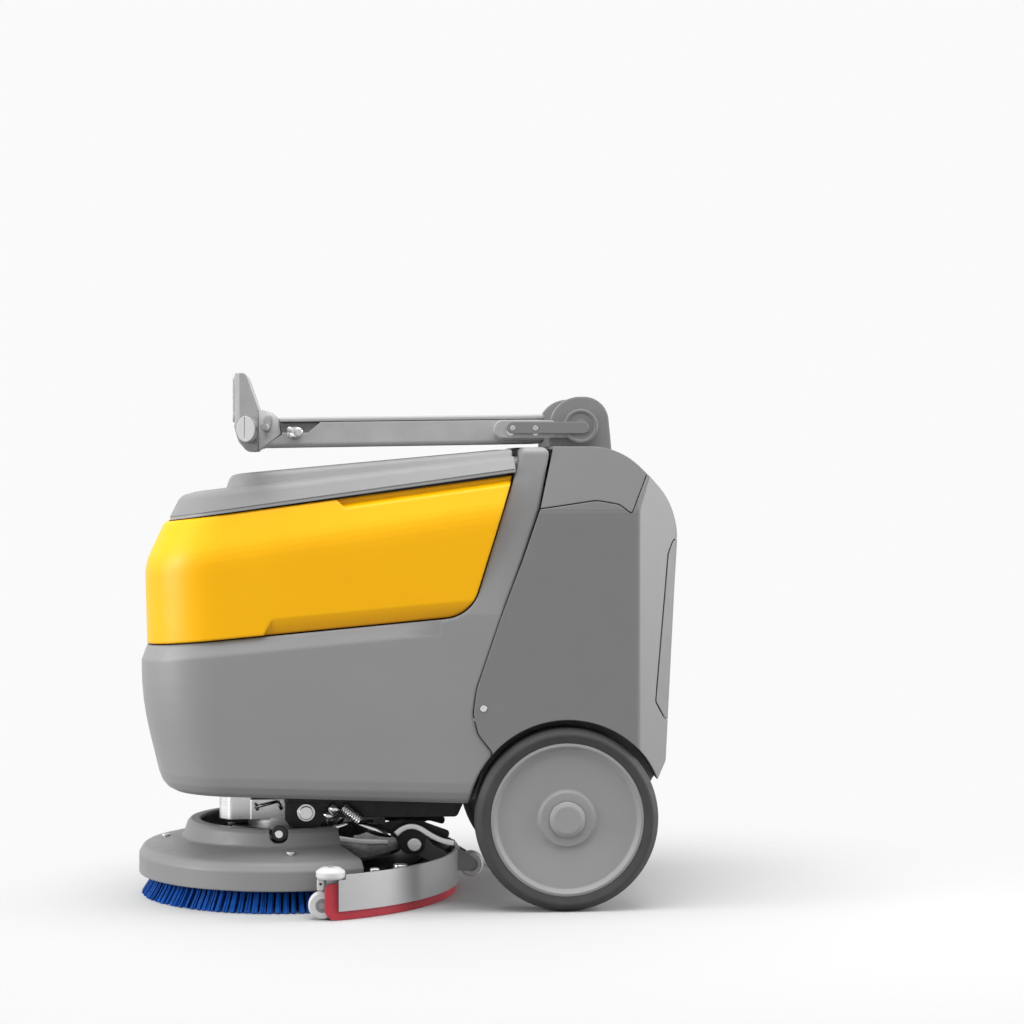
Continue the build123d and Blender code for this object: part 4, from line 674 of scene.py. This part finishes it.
class SCRUBBER_OT_linkage(bpy.types.Operator):
    """Bright adjuster, link and straps behind the brush, and the dark pin on the gearbox"""

    bl_idname = "scrubber.linkage"
    bl_label = "Linkage"

    def execute(self, context):
        """The adjuster's radius follows a saw-tooth thread along its axis; its foot and the link
        swell in the middle as a sine."""
        p = context.scene.scrubber_linkage
        f = context.scene.scrubber_finishes
        y = p.link_y
        share = np.linspace(0, 1, 65)
        neck, knob_radius, knob_end = 0.0066, 0.0078, 0.0064
        chrome = satin_metal("linkage_chrome", f.silver, 0.16, (60.0, 60.0, 60.0), 0.0005)
        knob = spindle((-0.1010, y, 0.1070), (-0.0880, y, 0.1220),
                       (0, 0.07, 0.4, 0.42, 0.5, 0.52, 0.93, 1),
                       (knob_end, knob_radius, knob_radius, neck,
                        neck, knob_radius, knob_radius, knob_end))
        tooth = neck + p.thread * np.abs((share * 8) % 1 * 2 - 1)
        screw = spindle((-0.0800, y, 0.1205), (-0.0585, y, 0.1040), share, tooth)
        swell = 0.0016 + 0.0036 * np.sin(np.pi * share) ** 0.8
        foot = spindle((-0.104, y + 0.004, 0.0895), (-0.074, y + 0.006, 0.0985),
                       share, swell * 0.9)
        piece = mesh_piece("adjuster", *merged(knob, screw, foot), chrome)
        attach(piece, "machine")

        link = spindle((-0.059, y + 0.012, 0.0965), (-0.018, y + 0.026, 0.0795),
                       share, swell * 1.3)
        piece = mesh_piece("link", *link, chrome)
        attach(piece, "lift_arm")

        arm_side = -0.0775
        under = [(-0.0960, 0.0815), (-0.0580, 0.0742), (-0.0215, 0.0712)]
        low_run = ribbon(under, y + 0.004, y + 0.028, height=0.0072, depth=0.0024)
        over = [(-0.0125, 0.0815), (-0.0035, 0.0885), (0.0070, 0.0915), (0.0180, 0.0893),
                (0.0330, 0.0800), (0.0480, 0.0728), (0.0640, 0.0695)]
        high_run = ribbon(over, arm_side, arm_side, height=0.0080, depth=0.0040)
        strap_grey = satin_metal("strap_grey", f.silver, 0.4)
        piece = mesh_piece("straps", *merged(low_run, high_run), strap_grey)
        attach(piece, "lift_arm")

        bend = (-0.1640, -0.0500, 0.1215)
        grip = spindle((-0.1935, -0.0520, 0.1195), (-0.1895, -0.0520, 0.1105), (0, 0.1, 0.9, 1),
                       (0.0012, 0.0022, 0.0022, 0.0012), sides=16)
        stem = spindle((-0.1915, -0.0520, 0.1150), bend, (0, 1), (0.0019, 0.0019), sides=16)
        hook = spindle(bend, (-0.1590, -0.0500, 0.1110), (0, 1), (0.0021, 0.0021), sides=16)
        pin_dark = satin_metal("pin_dark", f.lug_grey, 0.3)
        piece = mesh_piece("gearbox_pin", *merged(grip, stem, hook), pin_dark)
        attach(piece, "deck")
        return {"FINISHED"}


class SCRUBBER_OT_trim(bpy.types.Operator):
    """Raised rims, bars and screw heads on the handle's links, and the lever's knobs"""

    bl_idname = "scrubber.trim"
    bl_label = "Trim"

    def execute(self, context):
        """Each link has a rim and a longer bar on it, both bar outlines with round ends drawn in at
        their outer edge; the bar passes over the pivot disc. Screws are short round heads with a
        sunk middle. A knob's radius falls to its top in steps of a dome."""
        p = context.scene.scrubber_linkage
        f = context.scene.scrubber_finishes
        low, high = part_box("link_bars")
        disc_low, disc_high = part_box("pivot_shaft")
        z = 0.6043
        rim = stadium(0.1128, 0.1960, z - 0.0012, half=0.0114)
        bar = stadium(0.1290, 0.2345, z + 0.0008, half=0.0076)
        sunk_rim, sunk_bar, sunk_head, head_rise = 0.0060, 0.0004, 0.0010, 0.0006
        screw_places = (0.1365, 0.1655)
        rims = []
        bars = []
        heads = []
        for face, disc, out in ((low[1], disc_low[1], -1.0), (high[1], disc_high[1], 1.0)):
            outer = face + out * p.panel
            rims.append(side_plate(rim, face - out * sunk_rim, outer, edge=0.0012))
            top = disc + out * p.panel
            bars.append(side_plate(bar, face - out * sunk_bar, top, edge=0.0008))
            for x in screw_places:
                root, crown = (x, top - out * sunk_head, z), (x, top + out * head_rise, z)
                heads.append(spindle(root, crown, (0, 0.8, 1.0, 0.7),
                                     (0.0034, 0.0034, 0.0030, 0.0014), sides=20))
        rim_grey = moulded_plastic("link_rim", f.arm_grey)
        bar_grey = moulded_plastic("link_bar", shade(f.shell_grey, 1.02))
        head_steel = satin_metal("head_steel", shade(f.steel, 0.7), 0.5)
        for name, skins, material, slot, smooth in (
                ("link_rims", rims, rim_grey, "grey_light", False),
                ("link_panels", bars, bar_grey, "grey_dark", False),
                ("link_heads", heads, head_steel, "steel", True)):
            piece = mesh_piece(name, *merged(*skins), material, smooth)
            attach(piece, "handle")

        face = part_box("lift_lever")[0][1]
        root = face + 0.0030
        dome = np.array([0.95, 1.0, 0.96, 0.8, 0.4])
        knobs = []
        for x, height, radius, rise in ((-0.1470, 0.6026, 0.0038, 0.0034),
                                        (-0.1455, 0.5948, 0.0036, 0.0034),
                                        (-0.1362, 0.5992, 0.0064, 0.0012)):
            knobs.append(spindle((x, root, height), (x, face - rise, height),
                                 (0, 0.3, 0.6, 0.85, 1), radius * dome, sides=24))
        chrome = satin_metal("lever_chrome", shade(f.steel, 0.85), 0.3, contrast=0.5)
        piece = mesh_piece("lever_knobs", *merged(*knobs), chrome)
        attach(piece, "lever")
        return {"FINISHED"}


def lid_lip(lip):
    """A thin wall along the lid's lower outline: two straight sides and two quarter circles in a
    plane that rises to the rear. Its section has four corners, each an inset and a drop."""
    front, rear, half, round_off = -0.298, 0.135, 0.186, 0.076
    edge_z, slope = 0.492, 0.140
    tuck, wall = 0.001, 0.003
    turn = np.linspace(0, np.pi / 2, 24)
    bend = np.stack([round_off * (1 - np.sin(turn)), -half + round_off * (1 - np.cos(turn))], 1)
    out = np.stack([-np.sin(turn), -np.cos(turn)], 1)
    ends = np.array([[rear - front, -half]])
    path = np.concatenate([ends, bend, bend[::-1] * [1, -1], ends * [1, -1]])
    away = np.concatenate([[[0, -1]], out, out[::-1] * [1, -1], [[0, 1]]])
    corners = []
    for inset, drop in ((0.0006, tuck), (0.0, -lip), (wall, -lip), (wall, tuck)):
        flat = path - away * inset
        height = edge_z + slope * flat[:, 0] + drop
        corners.append(np.stack([front + flat[:, 0], flat[:, 1], height], 1))
    return loft(np.stack(corners, 1))


def rim_fairing(side, run):
    """Fills the bevel of the tank's rim on one side with a share that grows as a smooth step."""
    rear, seam_x, seam_z = 0.0405, -0.327, 0.331
    inner, bevel, width = 0.1915, 0.1931, 0.0069
    skin, skin_back, shoulder, depth = 0.1999, 0.1975, 0.0100, 0.0190
    steps, below_seam = 33, 0.0002
    share = np.linspace(0, 1, steps)
    x = rear - run * (1 - share)
    grow = share ** 2 * (3 - 2 * share)
    top = seam_z + TANK_SLOPE * (x - seam_x) - below_seam
    level = np.ones(steps)
    corners = []
    for place, height in ((inner * level, top), (bevel + width * grow, top),
                          (bevel + width * (0.55 + 0.45 * grow), top - shoulder),
                          (skin * level, top - depth), (skin_back * level, top - depth)):
        corners.append(np.stack([x, side * place, height], 1))
    return loft(np.stack(corners, 1))


class SCRUBBER_OT_edges(bpy.types.Operator):
    """Lip under the lid, fairings of the tank's rim, brackets over the support wheels, seam lips"""

    bl_idname = "scrubber.edges"
    bl_label = "Edges"

    def execute(self, context):
        """A bracket is a block whose outline is a rounded rectangle, with a short round pin in its
        outer face. A seam lip is a flat plate inside the shell, behind the cap's seam."""
        p = context.scene.scrubber_edges
        f = context.scene.scrubber_finishes
        # painted light: the lip takes the lid's grey made lighter, so its upright face looks as
        # bright as the lid's leaning side
        lid_lip_painted_light = moulded_plastic("lid_lip_painted_light", shade(f.lid_grey, 1.3))
        piece = mesh_piece("lid_lip", *lid_lip(p.lip), lid_lip_painted_light, False)
        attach(piece, "lid_body")

        middle, height, half_wide, half_tall = -0.1083, 0.0434, 0.0045, 0.0068
        block_from, block_to, pin_from, pin_to = 0.2240, 0.2380, 0.2375, 0.2384
        pin_z, pin_radius = height + 0.0015, 0.0016
        wide, tall = rounded_square(32, squareness=0.4)
        outline = np.stack([middle + wide * half_wide, height + tall * half_tall], 1)
        blocks = [side_plate(outline, side * block_from, side * block_to, edge=0.0008)
                  for side in SIDES]
        pins = [spindle((middle, side * pin_from, pin_z), (middle, side * pin_to, pin_z),
                        (0, 1), (pin_radius, pin_radius), sides=20) for side in SIDES]
        bracket_white = moulded_plastic("bracket_white", f.white)
        piece = mesh_piece("wheel_brackets", *merged(*blocks), bracket_white, False)
        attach(piece, "squeegee")
        pin_black = painted_steel("pin_black", f.black)
        piece = mesh_piece("bracket_pins", *merged(*pins), pin_black, False)
        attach(piece, "squeegee")

        ledge = [(0.158, 0.488), (0.276, 0.488), (0.276, 0.530), (0.158, 0.530)]
        lip_from, lip_to = 0.1748, 0.1760
        lips = [side_plate(ledge, side * lip_from, side * lip_to, edge=0.0003) for side in SIDES]
        # painted shade: black plates behind the cap's seam fill its gap with the dark of the shade
        # inside the shell
        seam_painted_shade = moulded_plastic("seam_painted_shade", f.black)
        piece = mesh_piece("seam_lips", *merged(*lips), seam_painted_shade, False)
        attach(piece, "machine")

        fairings = [rim_fairing(side, p.fairing) for side in SIDES]
        fairing_grey = moulded_plastic("fairing_grey", f.tank_grey, soften=0.0)
        piece = mesh_piece("rim_fairings", *merged(*fairings), fairing_grey, False)
        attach(piece, "machine")
        return {"FINISHED"}


def pale_floor():
    """A disc of rings round a middle point, a little under the wheels. It takes the shadow, looks
    pale to the camera, and fades into the backdrop with the distance from a spot by the machine."""
    around, under_wheels = 96, 0.0004
    radii = np.array([0.5, 1.0, 2.0, 4.0, 9.0])
    lit, shown = (0.34, 0.34, 0.34, 1), (0.525, 0.525, 0.528, 1)
    fade_centre, fade_start, fade_end = (0.22, -0.22, 0.0), 0.40, 0.86
    turn = circle(around)
    rim = np.stack([np.cos(turn), np.sin(turn), np.zeros(around)], 1)
    rings = (radii[:, None, None] * rim[None]).reshape(-1, 3)
    points = np.concatenate([np.zeros((1, 3)), rings])
    points[:, 2] -= under_wheels
    k = np.arange(around)
    follow = (k + 1) % around
    faces = [[0, 1 + a, 1 + b] for a, b in zip(k, follow)]
    for ring in range(len(radii) - 1):
        near = 1 + ring * around
        far = near + around
        faces += np.stack([near + k, far + k, far + follow, near + follow], 1).tolist()
    mesh = bpy.data.meshes.new("floor")
    mesh.from_pydata(points.tolist(), [], faces)

    w = Wiring("floor_pale")
    w.set(Roughness=0.8, Specular_IOR_Level=0.05)
    w.lead(w.blend(w.seen_directly(), lit, shown), "Base Color")
    away = w.vector("LENGTH", w.vector("SUBTRACT", w.place, fade_centre), out="Value")
    fade = w.span(away, fade_start, fade_end, interpolation_type="SMOOTHSTEP")
    clear = w.add("BsdfTransparent")
    mix = w.add("MixShader")
    w.feed(mix, (fade, w.shader.outputs["BSDF"], clear.outputs["BSDF"]))
    w.link(mix, "Shader", w.out, "Surface")
    mesh.materials.append(w.material)
    return bpy.data.objects.new("floor", mesh)


def studio_world(backdrop, fill):
    """Plain pale backdrop for the camera, and soft light that grows from the floor to overhead."""
    low_light, full_light = (0.18, 0.18, 0.18, 1), (1.0, 1.0, 1.0, 1)
    world = bpy.data.worlds.new("studio")
    t = Tree(world)
    out = t.add("OutputWorld")
    seen = t.add("Background")
    seen.inputs["Color"].default_value = (backdrop, backdrop, backdrop, 1)
    light = t.add("Background")
    light.inputs["Strength"].default_value = fill
    way = t.add("TexCoord")
    parts = t.add("SeparateXYZ")
    t.link(way, "Generated", parts, "Vector")
    height = t.span(parts.outputs["Z"], -1.0, 1.0)
    sky = t.ramp(height, (0.42, low_light), (0.85, full_light))
    t.tree.links.new(sky, light.inputs["Color"])
    mix = t.add("MixShader")
    t.feed(mix, (t.seen_directly(), light.outputs["Background"], seen.outputs["Background"]))
    t.link(mix, "Shader", out, "Surface")
    return world


def soft_lamp(name, spot, aim, width, height, watts):
    """A rectangular lamp at a spot, turned towards its aim."""
    data = bpy.data.lights.new(name, "AREA")
    data.shape = "RECTANGLE"
    data.size = width
    data.size_y = height
    data.energy = watts
    lamp = bpy.data.objects.new(name, data)
    lamp.location = spot
    way = np.array(aim) - np.array(spot)
    tilt = math.atan2(way[2], math.hypot(way[0], way[1]))
    lamp.rotation_euler = (math.pi / 2 + tilt, 0.0, math.atan2(-way[0], way[1]))
    bpy.context.scene.collection.objects.link(lamp)


class SCRUBBER_OT_stage(bpy.types.Operator):
    """Pale floor, soft lights and the camera"""

    bl_idname = "scrubber.stage"
    bl_label = "Stage"

    def execute(self, context):
        s = context.scene.scrubber_stage
        scene = context.scene
        floor = pale_floor()
        scene.collection.objects.link(floor)
        scene.world = studio_world(s.backdrop, s.fill)
        soft_lamp("front_light", (-2.1, -0.70, 0.72), (-0.1, -0.1, 0.28), 1.1, 1.2, s.key)
        soft_lamp("top_light", (0.0, -0.6, 2.6), (0, 0, 0.3), 2.2, 1.8, s.top)
        soft_lamp("rear_light", (2.2, -0.32, 0.9), (0.2, -0.1, 0.35), 1.0, 1.6, s.rear)

        look_down, look_right = 1.26, 4.03
        camera = bpy.data.cameras.new("camera")
        camera.lens = s.lens
        camera.sensor_width = 36.0
        seat = bpy.data.objects.new("camera", camera)
        scene.collection.objects.link(seat)
        seat.location = (-0.096, -3.400, 0.570)
        seat.rotation_euler = (math.radians(90.0 - look_down), 0.0, math.radians(-look_right))
        scene.camera = seat
        scene.view_settings.view_transform = "Standard"
        return {"FINISHED"}


PIECES = (SCRUBBER_OT_body, SCRUBBER_OT_wheels, SCRUBBER_OT_handle, SCRUBBER_OT_deck,
          SCRUBBER_OT_squeegee, SCRUBBER_OT_bristles, SCRUBBER_OT_linkage, SCRUBBER_OT_trim,
          SCRUBBER_OT_edges, SCRUBBER_OT_stage)


class SCRUBBER_PT_sidebar(bpy.types.Panel):
    """Lists the pieces and the stage"""

    bl_idname = "SCRUBBER_PT_sidebar"
    bl_label = "Floor Scrubber"
    bl_space_type = "VIEW_3D"
    bl_region_type = "UI"
    bl_category = "Scrubber"

    def draw(self, context):
        for piece in PIECES:
            self.layout.operator(piece.bl_idname)


GROUPS = {
    "scrubber_finishes": ScrubberFinishes,
    "scrubber_brush": ScrubberBrush,
    "scrubber_linkage": ScrubberLinkage,
    "scrubber_edges": ScrubberEdges,
    "scrubber_stage": ScrubberStage,
}


def register():
    for kind in (*GROUPS.values(), *PIECES, SCRUBBER_PT_sidebar):
        bpy.utils.register_class(kind)
    for name, kind in GROUPS.items():
        setattr(bpy.types.Scene, name, PointerProperty(type=kind))


def unregister():
    for name in GROUPS:
        delattr(bpy.types.Scene, name)
    for kind in (SCRUBBER_PT_sidebar, *reversed(PIECES), *reversed(list(GROUPS.values()))):
        bpy.utils.unregister_class(kind)


def main():
    register()
    bpy.ops.scrubber.body()
    bpy.ops.scrubber.wheels()
    bpy.ops.scrubber.handle()
    bpy.ops.scrubber.deck()
    bpy.ops.scrubber.squeegee()
    bpy.ops.scrubber.bristles()
    bpy.ops.scrubber.linkage()
    bpy.ops.scrubber.trim()
    bpy.ops.scrubber.edges()
    bpy.ops.scrubber.stage()


if __name__ == "__main__":
    main()
